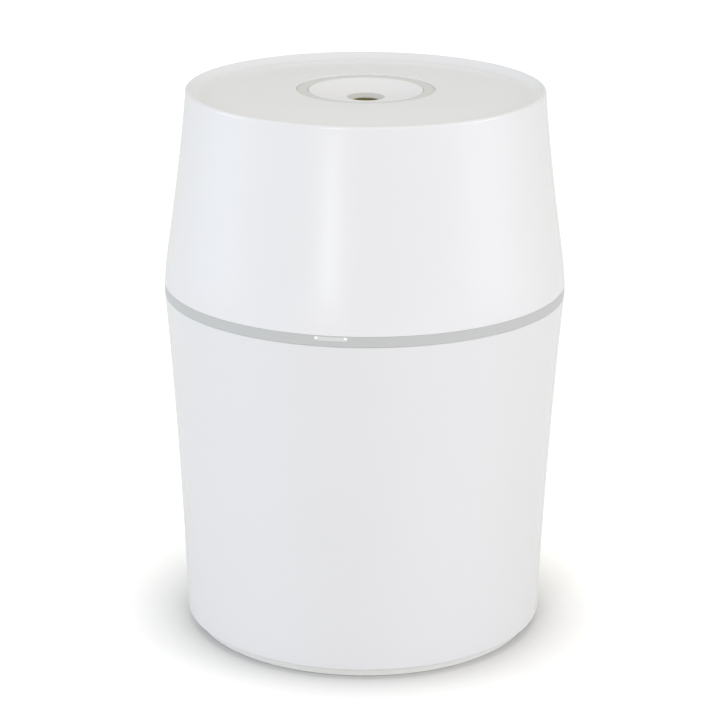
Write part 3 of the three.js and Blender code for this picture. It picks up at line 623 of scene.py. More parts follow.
class Dress:
    """A material in the making: a Principled shader with helpers for what feeds it."""

    def __init__(self, name: str, effects: Effects) -> None:
        """Starts a material with Object coordinates and a bare shader."""
        self.material = bpy.data.materials.new(name)
        self.material.use_nodes = True
        tree = self.material.node_tree
        tree.nodes.clear()
        self.desk = NodeDesk(tree)
        self.effects = effects
        self.place = self.desk.add("ShaderNodeTexCoord").outputs["Object"]
        self.shader = self.desk.add("ShaderNodeBsdfPrincipled")
        self.desk.add("ShaderNodeOutputMaterial", {"Surface": self.shader.outputs[0]})

    def set(self, **values: object) -> Dress:
        """Sets plain values on the shader's own sockets; an underscore stands for a space."""
        for name, value in values.items():
            self.shader.inputs[name.replace("_", " ")].default_value = value
        return self

    def feed(self, socket: str, output: bpy.types.NodeSocket) -> Dress:
        """Links an output to one of the shader's sockets."""
        self.desk.tree.links.new(output, self.shader.inputs[socket])
        return self

    def effect(self, tree: bpy.types.NodeTree, **values: object) -> bpy.types.Node:
        """Places a shared effect, fed with Object coordinates, with its own values."""
        node = self.desk.add("ShaderNodeGroup", node_tree=tree)
        self.desk.tree.links.new(self.place, node.inputs["Place"])
        for name, value in values.items():
            node.inputs[name].default_value = value
        return node

    def blend(
        self,
        factor: bpy.types.NodeSocket,
        first: Colour | bpy.types.NodeSocket,
        second: Colour | bpy.types.NodeSocket,
    ) -> bpy.types.NodeSocket:
        """Mixes two colours by a factor that changes over the surface."""
        node = self.desk.add("ShaderNodeMix", data_type="RGBA")
        self.desk.tree.links.new(factor, node.inputs["Factor"])
        for socket, value in ((node.inputs[6], first), (node.inputs[7], second)):
            if isinstance(value, bpy.types.NodeSocket):
                self.desk.tree.links.new(value, socket)
            else:
                socket.default_value = (*value, 1.0)
        return node.outputs[2]

    def bump(self, height: bpy.types.NodeSocket, depth: float) -> Dress:
        """Feeds the normal with a height, whose full range is `depth` metres."""
        node = self.desk.add("ShaderNodeBump", {"Height": height, "Strength": 1.0, "Distance": depth})
        return self.feed("Normal", node.outputs[0])

    def finish(
        self,
        colour: bpy.types.NodeSocket,
        roughness: bpy.types.NodeSocket,
        height: bpy.types.NodeSocket,
        depth: float,
        **values: object,
    ) -> bpy.types.Material:
        """Feeds the shader, sets its plain values and hands over the material.

        Args:
            colour: Feeds the base colour.
            roughness: Feeds the roughness.
            height: Feeds the bump.
            depth: Depth of the bump's full range, in metres.
            **values: Plain values for the shader's other sockets.

        Returns:
            The material.
        """
        self.feed("Base Color", colour).feed("Roughness", roughness).bump(height, depth).set(**values)
        return self.material


@dataclass(frozen=True)
class MouldedPlastic:
    """Moulded plastic: two close shades, a spread of roughness and a fine grain."""

    name: str
    light: Colour
    deep: Colour
    least: float = 0.34
    most: float = 0.44
    grain: float = 2600.0
    depth: float = 0.000004
    dust: float = 0.0
    wear: float = 0.0
    coat: float = 0.0
    glow: float = 0.0

    def make(self, effects: Effects) -> bpy.types.Material:
        """Builds the material."""
        dress = Dress(self.name, effects)
        skin = dress.effect(effects.moulding, Grain=self.grain, Least=self.least, Most=self.most)
        colour = dress.blend(skin.outputs["Tone"], self.light, self.deep)
        if self.wear:
            worn = dress.effect(effects.wear, Amount=self.wear)
            paler = tuple(min(1.0, channel * 1.25 + 0.02) for channel in self.light)
            colour = dress.blend(worn.outputs["Mask"], colour, paler)
        if self.dust:
            dusty = dress.effect(effects.dust, Amount=self.dust)
            colour = dress.blend(dusty.outputs["Mask"], colour, (0.55, 0.53, 0.50))
        # Emission, used only by the window's two end tips as painted glints.
        if self.glow:
            dress.set(Emission_Strength=self.glow)
        if self.coat:
            dress.set(Coat_Weight=self.coat, Coat_Roughness=0.2)
        rough, height = skin.outputs["Roughness"], skin.outputs["Height"]
        return dress.finish(colour, rough, height, self.depth, IOR=1.46)


@dataclass(frozen=True)
class PlainMetal:
    """Bare or plated metal with drawing streaks and paler edges."""

    name: str
    light: Colour
    deep: Colour
    stretch: tuple[float, float, float] = (60.0, 60.0, 4000.0)
    least: float = 0.22
    most: float = 0.38
    depth: float = 0.000003

    def make(self, effects: Effects) -> bpy.types.Material:
        """Builds the material."""
        dress = Dress(self.name, effects)
        drawn = dress.effect(effects.brushing, Stretch=self.stretch, Least=self.least, Most=self.most)
        colour = dress.blend(drawn.outputs["Streak"], self.deep, self.light)
        worn = dress.effect(effects.wear, Amount=0.6)
        colour = dress.blend(worn.outputs["Mask"], colour, self.light)
        rough, height = drawn.outputs["Roughness"], drawn.outputs["Streak"]
        return dress.finish(colour, rough, height, self.depth, Metallic=1.0)


@dataclass(frozen=True)
class SoftRubber:
    """Rubber or silicone: matt, with a fine mottle and a bloom of dust."""

    name: str
    light: Colour
    deep: Colour
    roughness: float = 0.7

    def make(self, effects: Effects) -> bpy.types.Material:
        """Builds the material."""
        dress = Dress(self.name, effects)
        skin = dress.effect(
            effects.moulding, Grain=3400.0, Flow=260.0, Least=self.roughness, Most=self.roughness + 0.2
        )
        colour = dress.blend(skin.outputs["Tone"], self.deep, self.light)
        dusty = dress.effect(effects.dust, Amount=0.25)
        colour = dress.blend(dusty.outputs["Mask"], colour, (0.5, 0.49, 0.46))
        return dress.finish(colour, skin.outputs["Roughness"], skin.outputs["Height"], 0.00001, IOR=1.41)


@dataclass(frozen=True)
class ClearPart:
    """Glass, oil or clear plastic, with faint waves in its surface."""

    name: str
    tint: Colour
    roughness: float
    ior: float
    transmission: float = 1.0
    wave: float = 0.00002

    def make(self, effects: Effects) -> bpy.types.Material:
        """Builds the material."""
        dress = Dress(self.name, effects)
        skin = dress.effect(
            effects.moulding, Grain=1200.0, Flow=30.0, Least=self.roughness, Most=self.roughness * 1.6
        )
        paler = tuple(min(1.0, channel * 1.08 + 0.01) for channel in self.tint)
        tone, rough = skin.outputs["Tone"], skin.outputs["Roughness"]
        dress.set(Transmission_Weight=self.transmission)
        return dress.finish(dress.blend(tone, self.tint, paler), rough, tone, self.wave, IOR=self.ior)


@dataclass(frozen=True)
class CottonWick:
    """Bundled cotton: long fibres that run up the wick."""

    name: str = "wick_cotton"
    light: Colour = (0.86, 0.82, 0.72)
    deep: Colour = (0.66, 0.60, 0.46)

    def make(self, effects: Effects) -> bpy.types.Material:
        """Builds the material."""
        dress = Dress(self.name, effects)
        fibres = dress.effect(effects.brushing, Stretch=(2600.0, 2600.0, 160.0), Least=0.85, Most=1.0)
        streak, rough = fibres.outputs["Streak"], fibres.outputs["Roughness"]
        colour = dress.blend(streak, self.deep, self.light)
        return dress.finish(colour, rough, streak, 0.00012, Sheen_Weight=0.3)


@dataclass(frozen=True)
class PrintedSleeve:
    """Shrink sleeve of a cell or capacitor: a dark body and a bright band at one end."""

    name: str
    body: Colour
    band: Colour
    start: float
    end: float

    def make(self, effects: Effects) -> bpy.types.Material:
        """Builds the material; the band lies between two heights in metres."""
        dress = Dress(self.name, effects)
        height = dress.desk.parts(dress.place)["Z"]
        above = dress.desk.maths("GREATER_THAN", height, self.start)
        below = dress.desk.maths("LESS_THAN", height, self.end)
        inside = dress.desk.maths("MULTIPLY", above, below)
        skin = dress.effect(effects.moulding, Grain=900.0, Flow=80.0, Least=0.2, Most=0.34)
        tone, rough = skin.outputs["Tone"], skin.outputs["Roughness"]
        faded = tuple(channel * 0.82 for channel in self.body)
        colour = dress.blend(tone, dress.blend(inside, self.body, self.band), faded)
        dress.set(Coat_Weight=0.4, Coat_Roughness=0.15)
        return dress.finish(colour, rough, tone, 0.00001, Metallic=0.35)


@dataclass(frozen=True)
class CircuitBoard:
    """Green solder mask with raised tracks and tinned pads showing."""

    name: str = "board_mask"
    mask: Colour = (0.015, 0.11, 0.045)
    track: Colour = (0.03, 0.2, 0.08)
    pad: Colour = (0.62, 0.6, 0.55)

    def make(self, effects: Effects) -> bpy.types.Material:
        """Builds the material."""
        dress = Dress(self.name, effects)
        white, black = (1, 1, 1, 1), (0, 0, 0, 1)
        bricks = {"Color1": white, "Color2": white, "Mortar": black, "Mortar Size": 0.06, "Scale": 220.0}
        tracks = dress.desk.add("ShaderNodeTexBrick", {"Vector": dress.place, **bricks})
        spots = {"Vector": dress.place, "Scale": 420.0, "Randomness": 0.6}
        pads = dress.desk.add("ShaderNodeTexVoronoi", spots)
        dot = dress.desk.maths("LESS_THAN", pads.outputs["Distance"], 0.18)
        skin = dress.effect(effects.moulding, Grain=1500.0, Flow=90.0, Least=0.25, Most=0.4)
        colour = dress.blend(dot, dress.blend(tracks.outputs["Fac"], self.mask, self.track), self.pad)
        dress.feed("Metallic", dot)
        return dress.finish(colour, skin.outputs["Roughness"], tracks.outputs["Fac"], 0.00003)


Finish = MouldedPlastic | PlainMetal | SoftRubber | ClearPart | CottonWick | PrintedSleeve | CircuitBoard


class Finishes:
    """Every finish of the diffuser, built once and kept by name."""

    RANGE: tuple[Finish, ...] = (
        MouldedPlastic(
            "white_shell", (0.785, 0.783, 0.812), (0.768, 0.766, 0.794), 0.28, 0.34, dust=0.02, coat=1.0
        ),
        # The housing's white is a darker copy of the shell's: painted shade of its down-facing sides.
        MouldedPlastic(
            "housing_white_painted_shade", (0.765, 0.763, 0.79), (0.748, 0.746, 0.772), 0.28, 0.34, dust=0.02, coat=1.0
        ),
        # The dish's white is a paler copy of the shell's: painted light on its front-facing slopes. Its
        # rougher, uncoated skin is its own.
        MouldedPlastic("dish_white_painted_light", (0.805, 0.805, 0.825), (0.79, 0.79, 0.81), 0.34, 0.42),
        # Grey of the mist hole's mouth: painted shade on part of the dish's own white moulding.
        MouldedPlastic("throat_painted_shade", (0.60, 0.60, 0.58), (0.57, 0.57, 0.55), 0.45, 0.55, 3400.0),
        # Glows a little: painted glints at the two ends of the status window.
        MouldedPlastic("painted_glint_tip", (0.88, 0.89, 0.90), (0.85, 0.86, 0.87), 0.2, 0.3, glow=0.16),
        # Warm grey of the groove round the dish: painted shade on part of the dish's own white moulding.
        MouldedPlastic("seat_painted_shade", (0.665, 0.665, 0.655), (0.64, 0.64, 0.63), 0.45, 0.55, 3400.0),
        MouldedPlastic("off_white_chassis", (0.74, 0.74, 0.72), (0.70, 0.70, 0.68), 0.42, 0.55, dust=0.05),
        MouldedPlastic("atomizer_white", (0.72, 0.72, 0.71), (0.66, 0.66, 0.65), 0.36, 0.5),
        MouldedPlastic(
            "silver_ring", (0.535, 0.545, 0.55), (0.515, 0.525, 0.53), 0.3, 0.42, 5200.0, coat=0.15
        ),
        MouldedPlastic(
            "grey_base", (0.84, 0.84, 0.82), (0.81, 0.81, 0.79), 0.5, 0.62, 1900.0, 0.000012, wear=0.4
        ),
        MouldedPlastic(
            "black_cradle", (0.035, 0.036, 0.04), (0.02, 0.02, 0.024), 0.45, 0.6, 1900.0, wear=0.5
        ),
        MouldedPlastic("black_knob", (0.05, 0.05, 0.055), (0.03, 0.03, 0.034), 0.4, 0.55, wear=0.6),
        MouldedPlastic("chip_epoxy", (0.022, 0.022, 0.025), (0.012, 0.012, 0.014), 0.5, 0.7, 4200.0),
        MouldedPlastic("red_insulation", (0.5, 0.03, 0.025), (0.38, 0.02, 0.018), 0.3, 0.45),
        MouldedPlastic("black_insulation", (0.03, 0.03, 0.03), (0.015, 0.015, 0.016), 0.3, 0.45),
        MouldedPlastic("fired_ceramic", (0.70, 0.64, 0.48), (0.60, 0.54, 0.40), 0.55, 0.75, 5200.0, 0.00001),
        SoftRubber("foot_rubber", (0.05, 0.05, 0.05), (0.028, 0.028, 0.028)),
        SoftRubber("olive_silicone", (0.30, 0.265, 0.10), (0.24, 0.21, 0.08), 0.5),
        SoftRubber("pale_silicone", (0.52, 0.50, 0.45), (0.44, 0.42, 0.37), 0.5),
        PlainMetal("plated_steel", (0.72, 0.73, 0.75), (0.5, 0.51, 0.53)),
        PlainMetal("spring_steel", (0.68, 0.69, 0.71), (0.42, 0.43, 0.45), (900.0, 900.0, 900.0)),
        PlainMetal("rolled_brass", (0.80, 0.62, 0.30), (0.58, 0.42, 0.18)),
        PlainMetal("copper_winding", (0.70, 0.30, 0.14), (0.42, 0.16, 0.07), (60.0, 5000.0, 60.0), 0.25, 0.4),
        ClearPart("window_plastic", (0.90, 0.92, 0.92), 0.1, 1.5, 0.3),
        ClearPart("lamp_resin", (0.85, 0.9, 0.8), 0.1, 1.5, 0.7),
        ClearPart("amber_glass", (0.62, 0.24, 0.045), 0.03, 1.52, 1.0, 0.00006),
        ClearPart("pale_oil", (0.93, 0.80, 0.42), 0.01, 1.47),
        CottonWick(),
        PrintedSleeve("cell_sleeve", (0.03, 0.16, 0.10), (0.62, 0.46, 0.16), 0.042, 0.0585),
        PrintedSleeve("capacitor_sleeve", (0.02, 0.03, 0.10), (0.5, 0.52, 0.55), 0.0285, 0.0315),
        CircuitBoard(),
    )

    def __init__(self, effects: Effects) -> None:
        """Builds the whole range."""
        self.materials = {finish.name: finish.make(effects) for finish in self.RANGE}

    def __getitem__(self, name: str) -> bpy.types.Material:
        """The material of a finish."""
        return self.materials[name]


# ------------------------------------------------------------------------------- the bench


@dataclass
class Bench:
    """Finishes workpieces: scales them, shades them, dresses them and puts them on their bodies.

    Attributes:
        frame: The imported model.
        finishes: The materials.
        count: Pieces made so far.
    """

    frame: dict
    finishes: Finishes
    count: int = 0

    def put(
        self,
        work: Workpiece,
        name: str,
        body: Body,
        finish: str,
        nodes: Sequence[str] = (),
        sharp: float = 34.0,
    ) -> bpy.types.Object:
        """Turns a workpiece into a piece of the diffuser.

        Args:
            work: The shaped solid, in millimetres.
            name: The piece's name.
            body: The body that it rides on.
            finish: Name of its finish.
            nodes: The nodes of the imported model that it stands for.
            sharp: Edges that turn by more than this many degrees are shaded as creases.

        Returns:
            The piece.
        """
        bmesh.ops.scale(work.bm, vec=(MM, MM, MM), verts=work.bm.verts[:])
        limit = math.radians(sharp)
        for edge in work.bm.edges:
            edge.smooth = len(edge.link_faces) == 2 and edge.calc_face_angle(math.pi) < limit
        for face in work.bm.faces:
            face.smooth = True
        made = work.as_object(name)
        work.bm.free()
        made.data.materials.append(self.finishes[finish])
        shading = made.modifiers.new("shading", "WEIGHTED_NORMAL")
        shading.keep_sharp = True
        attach(made, body.value)
        if nodes:
            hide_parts(*nodes)
        self.count += 1
        LOG.info("%-24s %6d faces on %s", name, len(made.data.polygons), body.value)
        return made

    def dress(self, node: str, finish: str) -> None:
        """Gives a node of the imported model, whose own shape stays, one of the finishes."""
        for place in self.frame["nodes"][node].material_slots:
            place.material = self.finishes[finish]
        LOG.info("%-24s carried over", node)


# ------------------------------------------------------------------------------- sub-assemblies


@dataclass
class Cover:
    """The lift-off cover: shell, mist dish and the soft collar under it."""

    bottom: float = 82.29
    seat_radius: float = 46.0
    shoulder: tuple[float, float] = (44.9, 92.0)
    crown_radius: float = 40.74
    crown_base: float = 126.0
    top: float = 127.1
    wall: float = 2.2
    dome_inner: float = 126.76
    recess_radius: float = 15.7
    recess_floor: float = 125.1
    ceiling: float = 123.4
    skirt_hole: float = 10.8
    collar_clearance: float = 43.05
    rib_bearings: tuple[int, ...] = (0, 60, 120, 180, 240, 300)
    nib_bearings: tuple[int, ...] = (30, 150, 270)

    def shell(self) -> Workpiece:
        """The outer skin, with its crown, domed top, ribs and snap nibs."""
        inside = self.crown_radius - self.wall
        flank = bow((self.seat_radius, self.bottom + 0.04), (45.89, 85.33), self.shoulder, 8)
        upper = bow(self.shoulder, (41.85, 112.58), (self.crown_radius, self.crown_base), 18)
        cove = bow((39.95, self.top - 0.02), (38.75, 125.72), (37.4, 125.66), 9)
        dome = bow((37.0, 125.68), (27.0, 126.66), (self.recess_radius + 0.25, self.dome_inner), 12)
        inner = bow((inside + 0.25, 120.9), (39.75, 112.58), (42.7, 92.0), 12)
        corners = [
            (self.seat_radius - 0.04, self.bottom), *flank, *upper[1:-1],
            (self.crown_radius, self.crown_base - 0.2), (self.crown_radius - 0.02, self.top, 0.66, 8),
            *cove, *dome, (self.recess_radius, self.dome_inner - 0.02, 0.14, 3),
            (self.recess_radius, self.recess_floor), (self.skirt_hole, self.recess_floor),
            (self.skirt_hole, self.ceiling), (inside + 0.1, self.ceiling, 2.0, 6), *inner, (43.35, 86.7),
            (self.collar_clearance, 85.7, 0.2, 2), (self.collar_clearance, self.bottom, 0.3, 2),
        ]
        shell = Workpiece().turn(corners, Sides.SHELL)
        hoop = Workpiece().sleeve(20.0, 21.4, 121.4, 123.9, Sides.LARGE, 0.3)
        rib_side = [(20.6, 123.9), (20.6, 121.4), (37.4, 117.2), (39.5, 117.2), (38.8, 123.9)]
        rib = Workpiece().bar(rib_side, 1.2).soften(0.2)
        nib = Workpiece().block((42.8, -4, 84.1), (43.8, 4, 85.1)).soften(0.25, 3)
        return shell.weld(hoop, *rib.copies(self.rib_bearings), *nib.copies(self.nib_bearings))

    @staticmethod
    def dish() -> Workpiece:
        """The shallow dish with the mist hole, and the skirt that snaps into the shell."""
        bowl = bow((12.35, 126.52), (8.65, 125.44), (4.45, 124.9), 12)
        corners = [
            (3.8, 121.6), (6.5, 121.6, 0.3, 3), (6.5, 123.2), (9.0, 124.2), (9.0, 121.0, 0.3, 3),
            (10.3, 121.0, 0.3, 3), (11.2, 122.2, 0.25, 3), (11.2, 122.9, 0.2, 3), (10.4, 123.1),
            (10.4, 125.2), (15.4, 125.2, 0.1, 2), (15.4, 125.7, 0.2, 4), (13.1, 125.7),
            (13.0, 126.55, 0.14, 4), *bowl, (4.25, 124.85, 0.04, 2), (4.25, 124.2), (3.8, 123.6),
        ]
        return Workpiece().turn(corners, Sides.SHELL)

    @staticmethod
    def throat() -> Workpiece:
        """The cone between the dish and the mist hole, grey as painted shade in the hole's mouth."""
        corners = [
            (3.28, 123.84), (3.78, 123.7), (4.22, 124.3), (4.22, 124.88, 0.05, 2), (3.28, 123.92),
        ]
        return Workpiece().turn(corners, Sides.LARGE)

    @staticmethod
    def seat() -> Workpiece:
        """The ring that lies flush round the dish, grey as painted shade in the groove round the dish."""
        return Workpiece().sleeve(13.12, 15.67, 125.75, 126.5, Sides.SHELL, 0.08)

    @staticmethod
    def gasket() -> Workpiece:
        """The olive collar seen through the mist hole."""
        corners = [
            (3.5, 119.9, 0.2, 3), (4.6, 119.9, 0.3, 4), (6.2, 120.7, 0.3, 3), (6.2, 121.5, 0.15, 2),
            (3.74, 121.5), (3.74, 123.62), (3.3, 123.78, 0.06, 2), (3.3, 120.6),
        ]
        return Workpiece().turn(corners, Sides.LARGE)

    def build(self, bench: Bench) -> None:
        """Makes the cover's pieces."""
        bench.put(self.shell(), "cover_shell", Body.COVER, "white_shell", ["top_cover"])
        bench.put(self.dish(), "mist_dish", Body.COVER, "dish_white_painted_light", ["nozzle_dish"])
        bench.put(self.throat(), "dish_throat", Body.COVER, "throat_painted_shade", ["nozzle_dish"])
        bench.put(self.seat(), "dish_seat", Body.COVER, "seat_painted_shade", ["nozzle_dish"])
        bench.put(self.gasket(), "mist_collar", Body.COVER, "olive_silicone", ["nozzle_gasket"])


@dataclass
class Waist:
    """The satin ring and the status light's clear pipe."""

    bottom: float = 79.96
    top: float = 82.27
    radius: float = 46.0
    inner: float = 43.0
    window_height: float = 81.6
    window_size: tuple[float, float] = (7.5, 1.06)
    lens_size: tuple[float, float] = (7.46, 1.02)
    tip_size: tuple[float, float] = (0.8, 0.42)
    tip_place: float = 3.2

    def _slot(self, size: tuple[float, float], front: float, back: float, across: float = 0.0) -> Workpiece:
        """A pill-shaped plug that runs from front to back at the window's height."""
        made = Workpiece().pill((across, 0), size[0], size[1], -back, -front, Sides.SMALL)
        return made.rotate(90, Axis.X).move(z=self.window_height)

    def ring(self) -> Workpiece:
        """The ring, with the window cut through its front."""
        corners = [
            (self.inner, self.bottom, 0.1, 2), (self.radius, self.bottom, 0.05, 2),
            (self.radius, self.top, 0.04, 2), (self.inner, self.top, 0.1, 2),
        ]
        ring = Workpiece().turn(corners, Sides.SHELL).carve(self._slot(self.window_size, -50, -41))
        return ring

    def lens(self) -> Workpiece:
        """The light pipe, from the lamp on the board up to the window."""
        level = self.window_height
        side = [
            (-43.2, level - 0.55),
            (-40.0, level - 0.55),
            (-38.6, level - 1.9),
            (-38.6, 71.4),
            (-37.4, 70.2),
            (-28.8, 70.2),
            (-28.8, 72.2),
            (-36.4, 72.2),
            (-36.4, level - 1.2),
            (-37.9, level + 0.55),
            (-43.2, level + 0.55),
        ]
        pipe = Workpiece().bar(side, 6.0)
        face = self._slot(self.lens_size, -50, -42.4)
        limit = Workpiece().drum(self.radius - 0.04, 60, 90, Sides.SHELL)
        lens = face.weld(pipe).combine("INTERSECT", limit)
        return lens.soften(0.3, 5, 60, lambda edge: all(v.co.y < -45.4 for v in edge.verts))

    def tip(self, side: int) -> Workpiece:
        """One of the two ends of the light pipe, just proud of the window, made to glow as painted glints."""
        plug = self._slot(self.tip_size, -50, -44.8, side * self.tip_place).move(z=0.14)
        tip = plug.combine("INTERSECT", Workpiece().drum(self.radius - 0.01, 60, 90, Sides.SHELL))
        return tip.soften(0.06, 2, 60, lambda edge: all(v.co.y < -45.4 for v in edge.verts))

    def build(self, bench: Bench) -> None:
        """Makes the ring and the light pipe."""
        # The two tips glow as painted glints at the ends of the window.
        for name, side in (("left", -1), ("right", 1)):
            bench.put(self.tip(side), f"painted_glint_tip_{name}", Body.BASE, "painted_glint_tip", ["status_lens"])
        bench.put(self.ring(), "waist_ring", Body.BASE, "silver_ring", ["trim_ring"])
        bench.put(self.lens(), "status_window", Body.BASE, "window_plastic", ["status_lens"])


@dataclass
class Housing:
    """The lower housing, with its screw bosses."""

    foot_radius: float = 41.7
    foot_bottom: float = 2.2
    top: float = 79.91
    wall: float = 2.2
    boss_orbit: float = 35.6
    boss_bearings: tuple[int, ...] = (45, 135, 225, 315)

    def shell(self) -> Workpiece:
        """The bowed wall, the rabbet that the chassis sits in and the bosses."""
        inner_foot = self.foot_radius - self.wall - 0.3
        outside = bow((self.foot_radius, self.foot_bottom + 0.6), (42.86, 41.35), (45.97, self.top - 0.2), 24)
        inside = bow((43.6, 77.6), (40.36, 41.35), (inner_foot, self.foot_bottom + 4), 14)
        corners = [
            (inner_foot, self.foot_bottom, 0.25, 2), (self.foot_radius - 0.02, self.foot_bottom, 0.62, 6),
            *outside, (45.77, self.top), (44.6, self.top), (44.6, 77.6), *inside,
        ]
        shell = Workpiece().turn(corners, Sides.SHELL)
        boss = Workpiece().drum(3.0, 5.8, 21.0, Sides.SMALL)
        boss.weld(Workpiece().block((0, -0.8, 5.8), (4.6, 0.8, 18.0)))
        pilot = Workpiece().drum(1.3, 5.0, 17.0, Sides.SMALL)
        boss.move(x=self.boss_orbit)
        pilot.move(x=self.boss_orbit)
        shell.weld(*boss.copies(self.boss_bearings))
        return shell.carve(*pilot.copies(self.boss_bearings))

    def build(self, bench: Bench) -> None:
        """Makes the housing."""
        bench.put(self.shell(), "housing_shell", Body.BASE, "housing_white_painted_shade", ["lower_housing"])


@dataclass
class Chassis:
    """The inner moulding: deck, collar, turret and the well for the bottle, with its contacts."""

    well_floor: float = 34.0
    well_radius: float = 13.7
    deck_bottom: float = 79.4
    deck_top: float = 81.0
    collar_radius: float = 42.6
    turret_top: float = 109.1
    turret_bore: float = 15.4
    board_back: float = -24.7
    leaf_bearings: dict[str, int] = field(default_factory=lambda: {"low": 250, "high": 290})
    nose_heights: dict[str, float] = field(default_factory=lambda: {"low": 100.6, "high": 104.6})

    def shell(self) -> Workpiece:
        """The moulding with its slots, pocket, lugs and posts."""
        corners = [
            (0, self.well_floor - 1.6), (self.well_radius + 1.6, self.well_floor - 1.6, 0.8, 4),
            (self.well_radius + 1.6, self.deck_bottom, 0.5, 3), (40.4, self.deck_bottom, 0.5, 3),
            (40.4, 72, 0.3, 2), (42, 72, 0.5, 3), (42, 77.9), (44.3, 77.9, 0.3, 2), (44.3, 79.3, 0.2, 2),
            (self.collar_radius, 79.3), (self.collar_radius, 88, 0.9, 5), (41, 88, 0.4, 3),
            (41, self.deck_top, 0.8, 4), *bow((25.2, self.deck_top), (20.6, self.deck_top), (20.1, 86), 8),
            (18.2, self.turret_top - 1.2), (18.0, self.turret_top, 0.9, 5),
            (self.turret_bore, self.turret_top, 0.6, 4), (self.turret_bore, 95), (self.well_radius, 93.4),
            (self.well_radius, self.well_floor, 1.0, 4), (0, self.well_floor),
        ]
        shell = Workpiece().turn(corners, Sides.LARGE, closed=False)
        lug = Workpiece().block((-2.5, self.board_back, 64), (2.5, self.board_back + 3.2, 79.8))
        post = Workpiece().drum(2.2, 63, 79.8, Sides.TINY).move(x=28)
        lugs = [part.move(x=x) for part, x in zip(lug.copies((0, 0)), (-9, 9))]
        shell.weld(*lugs, *post.copies((64, 116)))

        slot_side = [(15.6, 78), (17.2, 78), (17.2, 108), (14.4, 108), (14.4, 96), (15.6, 96)]
        slot = Workpiece().bar(slot_side, 3.4)
        slots = slot.copies(bearing - 90 for bearing in self.leaf_bearings.values())
        pocket = Workpiece().block((-4.6, -46, 70), (4.6, -35.6, 82.6))
        drain = Workpiece().drum(2.0, 31, 36, Sides.SMALL)
        detent = Workpiece().block((42.1, -4.6, 83.7), (43.6, 4.6, 85.5))
        pilot = Workpiece().drum(0.85, -0.5, 2.8, Sides.TINY).rotate(-90, Axis.X)
        pilots = [part.move(x, self.board_back, 67) for part, x in zip(pilot.copies((0, 0)), (-9, 9))]
        return shell.carve(*slots, pocket, drain, *detent.copies((30, 150, 270)), *pilots)

    @staticmethod
    def leaf(nose_height: float) -> Workpiece:
        """A sprung strip, bent from one flat ribbon, with a bowed nose."""
        back, nose, thick = 16.6, 15.1, 0.35
        bow_out = [(-3.2, 0.0), (-2.2, 0.45), (-1.2, 1.15), (-0.5, 1.45)]
        bow_out += [(0.0, 1.5), (0.5, 1.45), (1.3, 0.9), (2.6, 0.0)]
        outer = [(back, 62.0)] + [(back - out, nose_height + up) for up, out in bow_out]
        inner = [(y - thick, z) for y, z in reversed(outer)]
        inner = [(max(y, nose), z) for y, z in inner]
        outer = [(max(y, nose + thick), z) for y, z in outer]
        return Workpiece().bar(outer + inner, 2.6).rotate(-90)

    def build(self, bench: Bench) -> None:
        """Makes the moulding and the two contact leaves."""
        bench.put(self.shell(), "inner_chassis", Body.BASE, "off_white_chassis", ["chassis"])
        for side, bearing in self.leaf_bearings.items():
            leaf = self.leaf(self.nose_heights[side]).rotate(bearing)
            bench.put(leaf, f"leaf_{side}", Body.BASE, "rolled_brass", [f"contact_leaf_{side}"])


